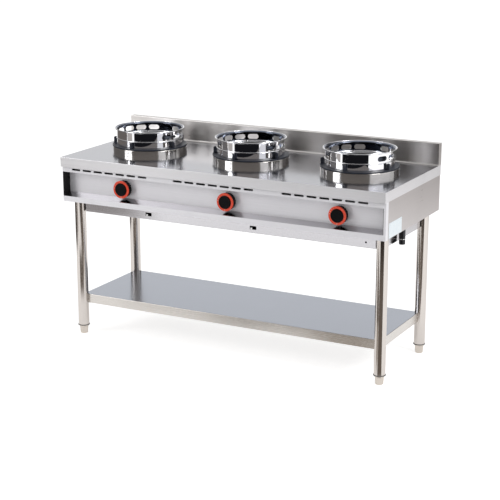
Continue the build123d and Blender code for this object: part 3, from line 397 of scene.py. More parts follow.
FINISHES: dict[Finish, tuple[str, ...]] = {
    LIT_WORKTOP_EDGES: ("worktop",),
    SPLASH_STEEL: ("backsplash",),
    PANEL_PAINTED_LIGHT: ("control_panel",),
    CASING_STEEL: ("side_panel", "rear_panel"),
    END_CAP_SHADE: ("recess_end_caps",),
    # Parts under the casing wear the painted-shade steel.
    INNER_PAINTED_SHADE: ("base_pan", "leg_brackets", "shelf_stiffeners", "burner_brackets"),
    PLATE: ("rating_plate",),
    FIXINGS: ("dome_screws", "stand_bolts"),
    PIPE_BLACK: ("gas_inlet",),
    BRASS: ("gas_manifold", "gas_valve", "gas_jets", "gas_feeds", "valve_stem",
            "pilot_burners"),
    RAIL_STEEL: ("front_rail", "rear_rail", "side_rail"),
    SHELF_LIP: ("undershelf",),
    COLLAR_STEEL: ("burner_collar",),
    CAST: ("pan_support", "burner_head", "burner_mixer"),
    CHROME: ("wok_ring",),
    KNOB_RED: ("knob_ring",),
    KNOB_BLACK: ("knob",),
    INSERT: ("leg_inserts",),
    LEG_STEEL: ("leg",),
    NICKEL: ("foot",),
}

CASING = "casing_and_stand"
BURNER_XS = (-0.5, 0.0, 0.5)
BURNER_Y = 0.025
TAP_OFFSET = 0.035
LEG_PLACES = {
    "front_left": (-0.709, -0.219), "front_right": (0.709, -0.219),
    "rear_left": (-0.709, 0.219), "rear_right": (0.709, 0.219),
}


def finish_of(node: str) -> Finish:
    """The finish of a node: the one that lists the longest start of the node's name.

    Args:
        node: name of the node.

    Returns:
        Its finish.
    """
    matches = {start: finish for finish, starts in FINISHES.items() for start in starts
               if node.startswith(start)}
    return matches[max(matches, key=len)]


def dress_frame() -> None:
    """Gives every CAD node its finish."""
    for name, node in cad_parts.items():
        node.data.materials.clear()
        node.data.materials.append(finish_of(name).material())


def show(name: str, data: bpy.types.ID) -> Object:
    """Makes an object of a mesh, lamp or camera in the scene.

    Args:
        name: name of the object.
        data: its mesh, lamp or camera.

    Returns:
        The object.
    """
    shown = bpy.data.objects.new(name, data)
    bpy.context.scene.collection.objects.link(shown)
    return shown


def settle(piece: Object, body: str, finish: Finish, *nodes: str, even: bool = True) -> Object:
    """Dresses a piece, puts it on its body and hides the nodes that it stands for.

    Args:
        piece: the finished object.
        body: body that carries it.
        finish: its finish.
        nodes: CAD nodes that it stands for.
        even: whether flat faces set the shading of the roundings beside them.

    Returns:
        The piece.
    """
    piece.data.materials.clear()
    piece.data.materials.append(finish.material())
    if even:
        weighted = piece.modifiers.new("even_shading", "WEIGHTED_NORMAL")
        weighted.keep_sharp = True
    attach(piece, body)
    if nodes:
        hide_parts(*nodes)
    LOG.info("%s: %d faces on %s", piece.name, len(piece.data.polygons), body)
    return piece


def paint(piece: Object, finish: Finish,
          wanted: Callable[[bpy.types.MeshPolygon], bool]) -> None:
    """Gives a further finish to some of the faces that still wear the first one.

    Args:
        piece: a dressed piece.
        finish: the further finish.
        wanted: tells whether a face gets it.
    """
    piece.data.materials.append(finish.material())
    last = len(piece.data.materials) - 1
    for face in piece.data.polygons:
        if face.material_index == 0 and wanted(face):
            face.material_index = last


def chain(part: BMesh, points: list[Triple], closed: bool = False) -> None:
    """Adds a line through points to a mesh.

    Args:
        part: mesh to add to.
        points: its corners.
        closed: whether it runs back to the first one.
    """
    verts = [part.verts.new(point) for point in points]
    ends = verts[1:] + verts[:1] if closed else verts[1:]
    for one, two in zip(verts, ends):
        part.edges.new((one, two))


def spin(part: BMesh, steps: int, angle: float = FULL_TURN) -> None:
    """Turns the lines of a mesh about Z, which makes a skin.

    Args:
        part: mesh with the lines.
        steps: number of flats.
        angle: how far they turn; a full turn is joined to its start.
    """
    bmesh.ops.spin(
        part, geom=part.verts[:] + part.edges[:], cent=ORIGIN, axis=UP, dvec=ORIGIN,
        angle=angle, steps=steps, use_merge=angle == FULL_TURN, use_duplicate=False)


def grow(part: BMesh, shift: Triple) -> None:
    """Extrudes all faces of a flat mesh to a solid."""
    grown = bmesh.ops.extrude_face_region(part, geom=part.faces[:])["geom"]
    bmesh.ops.translate(part, vec=shift, verts=[v for v in grown if isinstance(v, BMVert)])


def bevel(part: BMesh, edges: list[bmesh.types.BMEdge], width: float, segments: int,
          clamp: bool = False) -> None:
    """Rounds edges.

    Args:
        part: mesh that holds them.
        edges: the edges.
        width: width of the rounding.
        segments: number of flats across it.
        clamp: whether narrow faces limit the width.
    """
    bmesh.ops.bevel(part, geom=edges, offset=width, offset_type="OFFSET", segments=segments,
                    profile=0.5, affect="EDGES", material=-1, clamp_overlap=clamp)


class Shape:
    """A mesh in the making, which ends as one piece of the range."""

    merge_distance = 1e-5
    touch = 1e-6
    wire_flats = 14
    turned_flats = 4
    folded_flats = 3
    cast_flats = 2
    flat_angle = math.radians(0.5)
    run_on_angle = math.radians(25)
    smooth_angle = math.radians(35)

    def __init__(self) -> None:
        """Starts empty."""
        self.bm = bmesh.new()

    @classmethod
    def of_node(cls, node: str) -> "Shape":
        """Copies a CAD node, joins its triangles and merges its flat faces.

        Args:
            node: name of the node.

        Returns:
            The copy.
        """
        shape = cls()
        bm = shape.bm
        bm.from_mesh(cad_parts[node].data)
        bmesh.ops.remove_doubles(bm, verts=bm.verts, dist=cls.merge_distance)
        bmesh.ops.dissolve_limit(bm, angle_limit=cls.flat_angle, verts=bm.verts,
                                 edges=bm.edges, use_dissolve_boundaries=False)
        return shape

    def turn(self, outline: list[tuple[float, ...]], steps: int = 96) -> "Shape":
        """Adds a turned form about Z from an outline of (radius, height, rounding).

        Args:
            outline: corners in order; one that starts and ends on the axis stays open there.
            steps: number of flats round the axis.

        Returns:
            This shape.
        """
        part = bmesh.new()
        chain(part, [(c[0], 0.0, c[1]) for c in outline], closed=outline[0][0] > 0.0)
        spin(part, steps)
        bmesh.ops.remove_doubles(part, verts=part.verts, dist=self.touch)
        for radius, height, rounding in (c for c in outline if len(c) == 3):
            bevel(part, [e for e in part.edges if all(
                abs(v.co.xy.length - radius) < self.touch
                and abs(v.co.z - height) < self.touch for v in e.verts)],
                rounding, self.turned_flats)
        bmesh.ops.recalc_face_normals(part, faces=part.faces)
        return self.take(part)

    def hoop(self, reach: float, height: float, thick: float, steps: int = 96) -> "Shape":
        """Adds a round wire bent to a ring about Z.

        Args:
            reach: radius of the ring's centreline.
            height: its height.
            thick: radius of the wire.
            steps: number of flats round the axis.

        Returns:
            This shape.
        """
        part = bmesh.new()
        upright = Matrix.Translation((reach, 0.0, height)) @ (
            Matrix.Rotation(QUARTER_TURN, 4, "X"))
        bmesh.ops.create_circle(part, segments=self.wire_flats, radius=thick, matrix=upright)
        spin(part, steps)
        bmesh.ops.recalc_face_normals(part, faces=part.faces)
        return self.take(part)

    def fluted(self, reach: float, length: float, flutes: int, depth: float,
               rounding: float, bore: float) -> "Shape":
        """Adds an upright sleeve with hollows along its outside.

        Args:
            reach: its radius.
            length: its height.
            flutes: number of hollows.
            depth: how deep they are.
            rounding: width of the rounding at the outside's two ends.
            bore: radius of the hole through it.

        Returns:
            This shape.
        """
        part = bmesh.new()
        bmesh.ops.create_circle(part, segments=flutes * 8, radius=reach)
        for vert in part.verts:
            turn = math.atan2(vert.co.y, vert.co.x) * flutes
            vert.co.xy = vert.co.xy * (1.0 - depth / reach * max(0.0, math.cos(turn)) ** 2)
        bmesh.ops.create_circle(part, segments=flutes * 8, radius=bore)
        bmesh.ops.bridge_loops(part, edges=part.edges[:])
        grow(part, (0.0, 0.0, length))
        bevel(part, [e for e in part.edges
                     if abs(e.verts[0].co.z - e.verts[1].co.z) < self.touch
                     and min(v.co.xy.length for v in e.verts) > reach - 2 * depth],
              rounding, self.folded_flats)
        bmesh.ops.recalc_face_normals(part, faces=part.faces)
        return self.take(part)

    def box(self, low: Triple, high: Triple, rounding: float) -> "Shape":
        """Adds a block between two corners, with rounded edges.

        Args:
            low: lowest corner.
            high: highest corner.
            rounding: width of the rounding.

        Returns:
            This shape.
        """
        part = bmesh.new()
        middle = (Vector(low) + Vector(high)) / 2
        size = Vector(high) - Vector(low)
        bmesh.ops.create_cube(part, size=1.0, matrix=Matrix.Translation(middle)
                              @ Matrix.Diagonal((*size, 1.0)))
        bevel(part, part.edges[:], rounding, self.cast_flats)
        return self.take(part)

    def take(self, part: BMesh) -> "Shape":
        """Adds another mesh to this one and frees it.

        Args:
            part: the other mesh.

        Returns:
            This shape.
        """
        mesh = bpy.data.meshes.new("part")
        part.to_mesh(mesh)
        part.free()
        self.bm.from_mesh(mesh)
        bpy.data.meshes.remove(mesh)
        return self

    def place(self, matrix: Matrix) -> "Shape":
        """Moves the whole shape."""
        bmesh.ops.transform(self.bm, matrix=matrix, verts=self.bm.verts)
        return self

    def surfaces(self) -> dict[BMFace, int]:
        """Groups faces that run smoothly into each other.

        Returns:
            The group number of each face.
        """
        groups: dict[BMFace, int] = {}
        for seed in self.bm.faces:
            if seed in groups:
                continue
            number, stack = len(groups) + 1, [seed]
            groups[seed] = number
            while stack:
                for edge in stack.pop().edges:
                    if len(edge.link_faces) == 2 and edge.calc_face_angle() < self.run_on_angle:
                        for face in edge.link_faces:
                            if face not in groups:
                                groups[face] = number
                                stack.append(face)
        return groups

    def round_bends(self, radius: float, least_width: float = 0.003,
                    least_angle: float = 1.0) -> "Shape":
        """Rounds the outer edges where two wide surfaces meet, as in folded sheet.

        Args:
            radius: width of the rounding.
            least_width: surfaces narrower than this are cut edges and stay sharp.
            least_angle: flatter edges stay as they are.

        Returns:
            This shape.
        """
        groups = self.surfaces()
        area = dict.fromkeys(groups.values(), 0.0)
        rim = dict.fromkeys(groups.values(), 0.0)
        for face, number in groups.items():
            area[number] += face.calc_area()
        borders = [e for e in self.bm.edges if len(e.link_faces) == 2
                   and groups[e.link_faces[0]] != groups[e.link_faces[1]]]
        for edge in borders:
            for face in edge.link_faces:
                rim[groups[face]] += edge.calc_length()
        bends = [e for e in borders if e.is_convex and e.calc_face_angle() > least_angle
                 and all(2 * area[groups[f]] / rim[groups[f]] > least_width
                         for f in e.link_faces)]
        bevel(self.bm, bends, radius, self.folded_flats, clamp=True)
        return self

    def round_outer(self, radius: float, least_angle: float = 0.6) -> "Shape":
        """Rounds every outer edge, as on a casting.

        Args:
            radius: width of the rounding.
            least_angle: flatter edges stay as they are.

        Returns:
            This shape.
        """
        edges = [e for e in self.bm.edges if len(e.link_faces) == 2 and e.is_convex
                 and e.calc_face_angle() > least_angle]
        bevel(self.bm, edges, radius, self.cast_flats, clamp=True)
        return self

    def mesh(self, name: str) -> bpy.types.Mesh:
        """Ends the shape as a mesh whose shading is smooth over flat edges.

        Args:
            name: name of the mesh.

        Returns:
            The mesh.
        """
        for face in self.bm.faces:
            face.smooth = True
        for edge in self.bm.edges:
            edge.smooth = (len(edge.link_faces) == 2
                           and edge.calc_face_angle() < self.smooth_angle)
        mesh = bpy.data.meshes.new(name)
        self.bm.to_mesh(mesh)
        self.bm.free()
        return mesh

    def piece(self, name: str, body: str, finish: Finish, *nodes: str,
              even: bool = True) -> Object:
        """Makes the shape a piece that rides on a body, as settle() says."""
        return settle(show(name, self.mesh(name)), body, finish, *nodes, even=even)


@dataclass
class Casing:
    """Folded sheet parts: worktop, backsplash, fascia, sides, rear, rails and shelf."""

    bend: float = 0.0016
    crest_bend: float = 0.001
    folded: tuple[str, ...] = (
        "worktop", "control_panel", "side_panel_left", "side_panel_right", "rear_panel",
        "front_rail", "rear_rail", "side_rail_left", "side_rail_right", "undershelf",
        "shelf_stiffeners", "recess_end_caps", "base_pan", "leg_brackets")
    boxed: tuple[str, ...] = (
        "worktop", "control_panel", "side_panel_left", "side_panel_right", "rear_panel")
    inside: Block = ((-0.744, -0.284, 0.614), (0.744, 0.284, 0.803))
    recess: Block = ((-0.745, -0.3, 0.634), (0.7365, -0.239, 0.7405))
    ledge_top: float = 0.65
    in_front: float = 0.005
    level: float = 0.9

    def build(self) -> None:
        """Makes each folded part from its node, with rounded bends."""
        sheets = {}
        for node in self.folded:
            shape = Shape.of_node(node).round_bends(self.bend)
            sheets[node] = shape.piece(f"{node}_sheet", CASING, finish_of(node), node)
        # Faces that look into the casing get a painted shade.
        for node in self.boxed:
            paint(sheets[node], INNER_PAINTED_SHADE, self.gets_inner_shade)
        # The ledge under the knobs gets the darker copy: a painted shade beside the fascia's
        # painted light.
        paint(sheets["control_panel"], LEDGE_IN_SHADE, self.on_ledge)
        # The worktop's top faces get the darker copy: a painted shade.
        paint(sheets["worktop"], WORKTOP_TOP_SHADE, self.faces_up)
        # The shelf's top faces get the darker copy: a painted shade.
        paint(sheets["undershelf"], SHADED_SHELF_FACE, self.faces_up)
        splash = Shape.of_node("backsplash").round_bends(self.crest_bend)
        splash.piece("backsplash_sheet", CASING, SPLASH_STEEL, "backsplash")

    def gets_inner_shade(self, face: bpy.types.MeshPolygon) -> bool:
        """Whether a face looks into the closed casing, where it gets a painted shade."""
        spot = face.center + face.normal * self.in_front
        return self.within(spot, self.inside) and not self.within(spot, self.recess)

    def within(self, spot: Vector, block: Block) -> bool:
        """Whether a point lies in a block given by its two corners."""
        return all(low < part < high for part, low, high in zip(spot, *block))

    def faces_up(self, face: bpy.types.MeshPolygon) -> bool:
        """Whether a face is level and points up."""
        return face.normal.z > self.level

    def on_ledge(self, face: bpy.types.MeshPolygon) -> bool:
        """Whether a face of the fascia is part of the ledge under the knobs."""
        return self.faces_up(face) and face.center.z < self.ledge_top


@dataclass
class RailGlintTabs:
    """Small bright tabs on the front rail's bottom wall, seen through its access holes: a
    painted highlight that stands for a reflection on the rail's inside wall.
    """

    hole_lefts: tuple[float, ...] = (-0.377, 0.123)
    inset: float = 0.0015
    width: float = 0.009
    base: float = 0.5574
    height: float = 0.0211
    face: float = -0.2172
    depth: float = 0.004
    rounding: float = 0.0008

    def build(self) -> None:
        """Makes the tabs as one piece."""
        tabs = Shape()
        for left in self.hole_lefts:
            low = (left + self.inset, self.face, self.base)
            high = (low[0] + self.width, self.face + self.depth, self.base + self.height)
            tabs.box(low, high, self.rounding)
        tabs.piece("rail_glint_tabs", CASING, FIXINGS)


@dataclass
class RatingPlate:
    """Blank plate with a rivet in each corner."""

    rounding: float = 0.0002
    rivet_radius: float = 0.0028
    rivet_inset: float = 0.0065
    rivet_height: float = 0.0006
    rivet_shoulder: tuple[float, float] = (0.00196, 0.0004)
    rivet_sink: float = 0.0003
    rivet_steps: int = 12

    def build(self) -> None:
        """Makes the plate and its rivets."""
        low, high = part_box("rating_plate")
        plate = Shape().box(low, high, self.rounding)
        plate.piece("rating_plate_blank", CASING, PLATE, "rating_plate")
        dome = [(0.0, self.rivet_height), self.rivet_shoulder, (self.rivet_radius, 0.0),
                (0.0, 0.0)]
        outward = Matrix.Rotation(QUARTER_TURN, 4, "Y")
        rivets = Shape()
        for y in (low.y + self.rivet_inset, high.y - self.rivet_inset):
            for z in (low.z + self.rivet_inset, high.z - self.rivet_inset):
                spot = Matrix.Translation((high.x - self.rivet_sink, y, z)) @ outward
                rivets.take(Shape().turn(dome, self.rivet_steps).place(spot).bm)
        rivets.piece("plate_rivets", CASING, FIXINGS, even=False)


@dataclass
class Burner:
    """One burner's collar, cast support ring and loose wok ring."""

    number: int
    x: float
    collar_sheet: float = 0.0015
    collar_radius: float = 0.161
    collar_opening: float = 0.128
    collar_base: float = 0.805
    collar_top: float = 0.8265
    collar_bend: float = 0.0025
    cut_edge: float = 0.0005
    cast_round: float = 0.0012
    ring_base: float = 0.8331
    ring_radius: float = 0.143
    ring_wall: float = 0.002
    ring_height: float = 0.072
    rim_radius: float = 0.152
    flare_height: float = 0.005
    flare_bend: float = 0.0022
    ledge_height: float = 0.028
    ledge_opening: float = 0.112
    ledge_drop: float = 0.007
    ledge_bend: float = 0.0015
    bead: float = 0.003
    slot_length: float = 0.046
    slot_height: float = 0.021
    slot_centre: float = 0.046
    slot_middle: float = 90.0
    slot_pitch: float = 23.5
    slots_per_side: int = 5
    cut_depth: float = 0.02
    cut_steps: int = 36
    clip_angle: float = 125.0
    clip_reach: tuple[float, float] = (0.129, 0.1405)
    clip_width: float = 0.006
    clip_height: float = 0.003
    clip_round: float = 0.001
    shaded_near: float = 0.0007
    bright_near: float = 0.0022
    shaded_facing: float = 0.3
    collar_steps: int = 128
    steps: int = 192

    def place(self, height: float = 0.0) -> Matrix:
        """Matrix from the burner's own axis to its place."""
        return Matrix.Translation((self.x, BURNER_Y, height))

    def build_collar(self) -> None:
        """Makes the collar, with its top turned in."""
        radius, base, top = self.collar_radius, self.collar_base, self.collar_top
        inner, under = radius - self.collar_sheet, top - self.collar_sheet
        shape = Shape().turn([
            (inner, base), (radius, base), (radius, top, self.collar_bend),
            (self.collar_opening, top, self.cut_edge), (self.collar_opening, under),
            (inner, under)], self.collar_steps)
        name = f"burner_collar_{self.number}"
        finish = replace(COLLAR_STEEL, centre=(self.x, BURNER_Y, 0.0),
                         key=f"{COLLAR_STEEL.name}_{self.x:+.1f}")
        shape.place(self.place()).piece(f"{name}_sheet", CASING, finish, name)

    def build_support(self) -> None:
        """Makes the cast support ring with its lugs, its edges rounded."""
        name = f"pan_support_{self.number}"
        support = Shape.of_node(name).round_outer(self.cast_round)
        support.piece(f"{name}_casting", name, CAST, name)

    def build_feed(self) -> None:
        """Makes the burner's head and its mixing tube."""
        for kind in ("burner_head", "burner_mixer"):
            name = f"{kind}_{self.number}"
            Shape.of_node(name).piece(f"{name}_casting", CASING, CAST, name)

    def slot_cutters(self) -> Object:
        """One object that holds a round-ended cutter for each slot.

        Returns:
            The cutters.
        """
        cutters = Shape()
        half = (self.slot_length - self.slot_height) / 2
        start = self.ring_radius - self.cut_depth / 2
        flat = Matrix.Translation((start, 0.0, self.slot_centre)) @ (
            Matrix.Rotation(QUARTER_TURN, 4, "Y")
            @ Matrix.Rotation(math.pi / self.cut_steps, 4, "Z"))
        turns = [side * count * self.slot_pitch for side in (-1, 1)
                 for count in range(1, self.slots_per_side + 1)]
        for turn in turns:
            slot = bmesh.new()
            bmesh.ops.create_circle(slot, cap_ends=True, segments=self.cut_steps,
                                    radius=self.slot_height / 2, matrix=flat)
            for vert in slot.verts:
                vert.co.y += math.copysign(half, vert.co.y)
            grow(slot, (self.cut_depth, 0.0, 0.0))
            bmesh.ops.recalc_face_normals(slot, faces=slot.faces)
            bmesh.ops.rotate(
                slot, cent=ORIGIN, verts=slot.verts,
                matrix=Matrix.Rotation(math.radians(self.slot_middle + turn), 3, "Z"))
            cutters.take(slot)
        return show("cutters", cutters.mesh("cutters"))

    def slotted_band(self) -> Shape:
        """The ring's upright band with its flare and its slots.

        Returns:
            The band, about its own axis.
        """
        outer, inner = self.ring_radius, self.ring_radius - self.ring_wall
        flare_base, half = self.ring_height - self.flare_height, self.ring_wall / 2
        rim_r, rim_z = self.rim_radius - self.ring_wall, self.ring_height - self.ring_wall
        band = Shape().turn([
            (inner, 0.0, self.cut_edge), (outer, 0.0, self.cut_edge),
            (outer, flare_base, self.flare_bend), (rim_r + half, rim_z),
            (rim_r - half, rim_z + half), (inner, flare_base, self.flare_bend)], self.steps)
        ring = show("band", band.mesh("band"))
        cut = ring.modifiers.new("slots", "BOOLEAN")
        cut.object = self.slot_cutters()
        cut.solver = "EXACT"
        slotted = Shape()
        graph = bpy.context.evaluated_depsgraph_get()
        slotted.bm.from_mesh(ring.evaluated_get(graph).data)
        for spare in (cut.object, ring):
            bpy.data.objects.remove(spare)
        return slotted

    def build_ring(self) -> None:
        """Makes the wok ring: slotted band, rolled rim, bead, inner ledge and clip."""
        roll, top = self.ring_wall, self.ledge_height
        middle = self.ring_radius - roll / 2
        ring = self.slotted_band()
        ring.hoop(self.rim_radius - roll, self.ring_height - roll, roll, self.steps)
        ring.hoop(middle, top, self.bead, self.steps)
        ring.turn([
            (self.ledge_opening, top, self.ledge_bend), (middle, top), (middle, top - roll),
            (self.ledge_opening + roll, top - roll, self.ledge_bend),
            (self.ledge_opening + roll, top - self.ledge_drop),
            (self.ledge_opening, top - self.ledge_drop)], self.steps)
        near, far = self.clip_reach
        clip = Shape().box(
            (near, -self.clip_width / 2, top),
            (far, self.clip_width / 2, top + self.clip_height), self.clip_round)
        ring.take(clip.place(Matrix.Rotation(math.radians(self.clip_angle), 4, "Z")).bm)
        name = f"wok_ring_{self.number}"
        ring.place(self.place(self.ring_base))
        # The inner wall and the flare's inside get a painted shade.
        paint(ring.piece(f"{name}_polished", name, CHROME, name), RING_INSIDE_SHADE, self.is_in_ring_shade)

    def is_in_ring_shade(self, face: bpy.types.MeshPolygon) -> bool:
        """Whether a face is part of the ring's inner wall, which gets a painted shade.

        Args:
            face: a face of the ring.

        Returns:
            True for the inner wall and for the inside of the flare below the rim.
        """
        out = face.center.to_2d() - Vector((self.x, BURNER_Y))
        inner = self.ring_radius - self.ring_wall
        flare_base = self.ring_height - self.flare_height - self.flare_bend
        rim = self.rim_radius - self.ring_wall
        on_wall = abs(out.length - inner) < self.shaded_near
        on_flare = (face.center.z - self.ring_base > flare_base
                    and abs(out.length - rim) > self.bright_near)
        inward = face.normal.to_2d().dot(out.normalized()) < self.shaded_facing
        return inward and (on_wall or on_flare)

    def build(self) -> None:
        """Makes the burner's visible parts."""
        self.build_collar()
        self.build_support()
        self.build_ring()
        self.build_feed()


@dataclass
class Knob:
    """One knob: fluted body, smooth cap and red ring with a pointer and four pale marks that
    are painted highlights.
    """

    number: int
    x: float
    height: float = 0.685
    back: float = -0.2425
    body_length: float = 0.0235
    body_radius: float = 0.036
    body_round: float = 0.001
    flutes: int = 20
    flute_depth: float = 0.0016
    bore_radius: float = 0.00408
    bore_depth: float = 0.023
    cap_radius: float = 0.0275
    cap_height: float = 0.0085
    cap_round: float = 0.002
    border_width: float = 0.004
    border_round: float = 0.0015
    dish_slope: float = 0.001
    dish_depth: float = 0.0006
    ring_radius: float = 0.038
    ring_thick: float = 0.0045
    ring_gap: float = 0.0002
    ring_rounds: Triple = (0.0008, 0.0012, 0.0005)
    # The four marks sit where the ring shows highlights: painted highlights.
    highlight_turns: tuple[float, ...] = (118.0, 136.0, 154.0, 172.0)
    highlight_halves: tuple[float, ...] = (0.00065, 0.000975, 0.0013, 0.001625)
    mark_height: float = 0.0006
    mark_sink: float = 0.0004
    mark_round: float = 0.0002
    pointer_width: float = 0.0022
    pointer_ends: tuple[float, float] = (0.0015, 0.001)

    def place(self) -> Matrix:
        """Matrix that lays an upright form along the knob's axis, front towards -Y."""
        spot = Matrix.Translation((self.x, self.back, self.height))
        return spot @ Matrix.Rotation(QUARTER_TURN, 4, "X")

    def build_body(self, body: str) -> None:
        """Makes the black moulding.

        Args:
            body: body that carries the knob.
        """
        front = self.body_length + self.cap_height
        border, dish = self.cap_radius - self.border_width, front - self.dish_depth
        shape = Shape().fluted(self.body_radius, self.body_length, self.flutes,
                               self.flute_depth, self.body_round, self.bore_radius)
        shape.turn([
            (0.0, self.bore_depth), (self.cap_radius, self.bore_depth),
            (self.cap_radius, front, self.cap_round), (border, front, self.border_round),
            (border - self.dish_slope, dish), (0.0, dish)])
        shape.place(self.place()).piece(f"{body}_moulding", body, KNOB_BLACK, body)

    def build_ring(self, body: str) -> None:
        """Makes the red ring.

        Args:
            body: body that carries the knob.
        """
        base, bore = self.body_length, self.cap_radius + self.ring_gap
        front = base + self.ring_thick
        back_round, front_round, bore_round = self.ring_rounds
        ring = Shape().turn([
            (bore, base), (self.ring_radius, base, back_round),
            (self.ring_radius, front, front_round), (bore, front, bore_round)])
        ring.place(self.place())
        ring.piece(f"{body}_red_ring", body, KNOB_RED, f"knob_ring_{self.number}")

    def build_pointer_and_highlights(self, body: str) -> None:
        """Makes a pointer and four pale marks that grow in size on the ring's face; the four
        marks are painted highlights.

        Args:
            body: body that carries the knob.
        """
        base = self.body_length + self.ring_thick - self.mark_sink
        top = base + self.mark_height
        middle = (self.cap_radius + self.ring_radius) / 2
        pointer_and_highlights = Shape()
        for turn, half in zip(self.highlight_turns, self.highlight_halves):
            tick = Shape().box((middle - half, -half, base), (middle + half, half, top),
                               self.mark_round)
            pointer_and_highlights.take(tick.place(Matrix.Rotation(math.radians(turn), 4, "Z")).bm)
        half = self.pointer_width / 2
        outer, inner = self.pointer_ends
        pointer_and_highlights.box((-half, -self.ring_radius + outer, base),
                  (half, -self.cap_radius - inner, top), self.mark_round)
        pointer_and_highlights.place(self.place()).piece(f"{body}_marks", body, PALE_MARK_AND_HIGHLIGHT)

    def build(self) -> None:
        """Makes the knob, its ring, and the ring's pointer and painted-highlight marks."""
        body = f"knob_{self.number}"
        self.build_body(body)
        self.build_ring(body)
        self.build_pointer_and_highlights(body)


@dataclass
class Leg:
    """One tube leg with its bullet foot."""

    name: str
    x: float
    y: float
    radius: float = 0.024
    wall: float = 0.0015
    base: float = 0.042
    top: float = 0.609
    cut_edge: float = 0.0003
    tip_radius: float = 0.0165
    tip_round: float = 0.0025
    cone_radius: float = 0.019
    cone_top: float = 0.0307
    shoulder_radius: float = 0.0205
    shoulder_base: float = 0.0322
    shoulder_top: float = 0.0377
    shoulder_rounds: tuple[float, float] = (0.0005, 0.0006)
    stud_radius: float = 0.006
    stud_top: float = 0.0977
    foot_steps: int = 72

    def place(self) -> Matrix:
        """Matrix from the leg's axis to its place."""
        return Matrix.Translation((self.x, self.y, 0.0))

    def build(self) -> None:
        """Makes the tube and the foot."""
        inner = self.radius - self.wall
        tube = Shape().turn([
            (inner, self.base), (self.radius, self.base, self.cut_edge),
            (self.radius, self.top), (inner, self.top)])
        tube.place(self.place())
        tube.piece(f"leg_{self.name}_tube", CASING, LEG_STEEL, f"leg_{self.name}")
        low_round, top_round = self.shoulder_rounds
        foot = Shape().turn([
            (0.0, 0.0), (self.tip_radius, 0.0, self.tip_round),
            (self.cone_radius, self.cone_top),
            (self.shoulder_radius, self.shoulder_base, low_round),
            (self.shoulder_radius, self.shoulder_top, top_round),
            (self.stud_radius, self.shoulder_top), (self.stud_radius, self.stud_top),
            (0.0, self.stud_top)], self.foot_steps)
        name = f"foot_{self.name}"
        foot.place(self.place()).piece(f"{name}_turned", name, NICKEL, name)


@dataclass
class Inserts:
    """The four plugs in the legs, with their flanges."""

    bore: float = 0.00608
    plug_radius: float = 0.02242
    plug_top: float = 0.076
    flange_radius: float = 0.026
    flange_base: float = 0.038
    flange_top: float = 0.042
    flange_round: float = 0.0008
    steps: int = 72

    def build(self) -> None:
        """Makes the inserts of all legs as one piece."""
        inserts = Shape()
        for x, y in LEG_PLACES.values():
            part = Shape().turn([
                (self.bore, self.flange_base),
                (self.flange_radius, self.flange_base, self.flange_round),
                (self.flange_radius, self.flange_top, self.flange_round),
                (self.plug_radius, self.flange_top), (self.plug_radius, self.plug_top),
                (self.bore, self.plug_top)], self.steps)
            inserts.take(part.place(Matrix.Translation((x, y, 0.0))).bm)
        inserts.piece("leg_inserts_turned", CASING, INSERT, "leg_inserts")


@dataclass
class GasInlet:
    """Gas inlet nipple with its thread and a bright band."""

    x: float = 0.727
    y: float = -0.06
    base: float = 0.545
    top: float = 0.625
    bore: float = 0.0106
    radius: float = 0.0132
    thread_radius: float = 0.0129
    thread_depth: float = 0.0007
    thread_pitch: float = 0.0018
    thread_turns: int = 11
    thread_end: float = 0.021
    band: tuple[float, float] = (0.566, 0.5685)
    band_proud: float = 0.0003
    band_sink: float = 0.0004
    band_round: float = 0.0002
    steps: int = 64

    def build(self) -> None:
        """Makes the nipple and the band."""
        place = Matrix.Translation((self.x, self.y, 0.0))
        outline = [(self.bore, self.base)]
        for count in range(self.thread_turns):
            root = self.base + count * self.thread_pitch
            outline += [(self.thread_radius - self.thread_depth, root),
                        (self.thread_radius, root + self.thread_pitch / 2)]
        outline += [(self.radius, self.base + self.thread_end), (self.radius, self.top),
                    (self.bore, self.top)]
        pipe = Shape().turn(outline, self.steps).place(place)
        pipe.piece("gas_inlet_nipple", CASING, PIPE_BLACK, "gas_inlet")
        low, high = self.band
        outer, inner = self.radius + self.band_proud, self.radius - self.band_sink
        band = Shape().turn([(inner, low), (outer, low, self.band_round),
                             (outer, high, self.band_round), (inner, high)], self.steps)
        band.place(place).piece("gas_inlet_bands", CASING, FIXINGS)


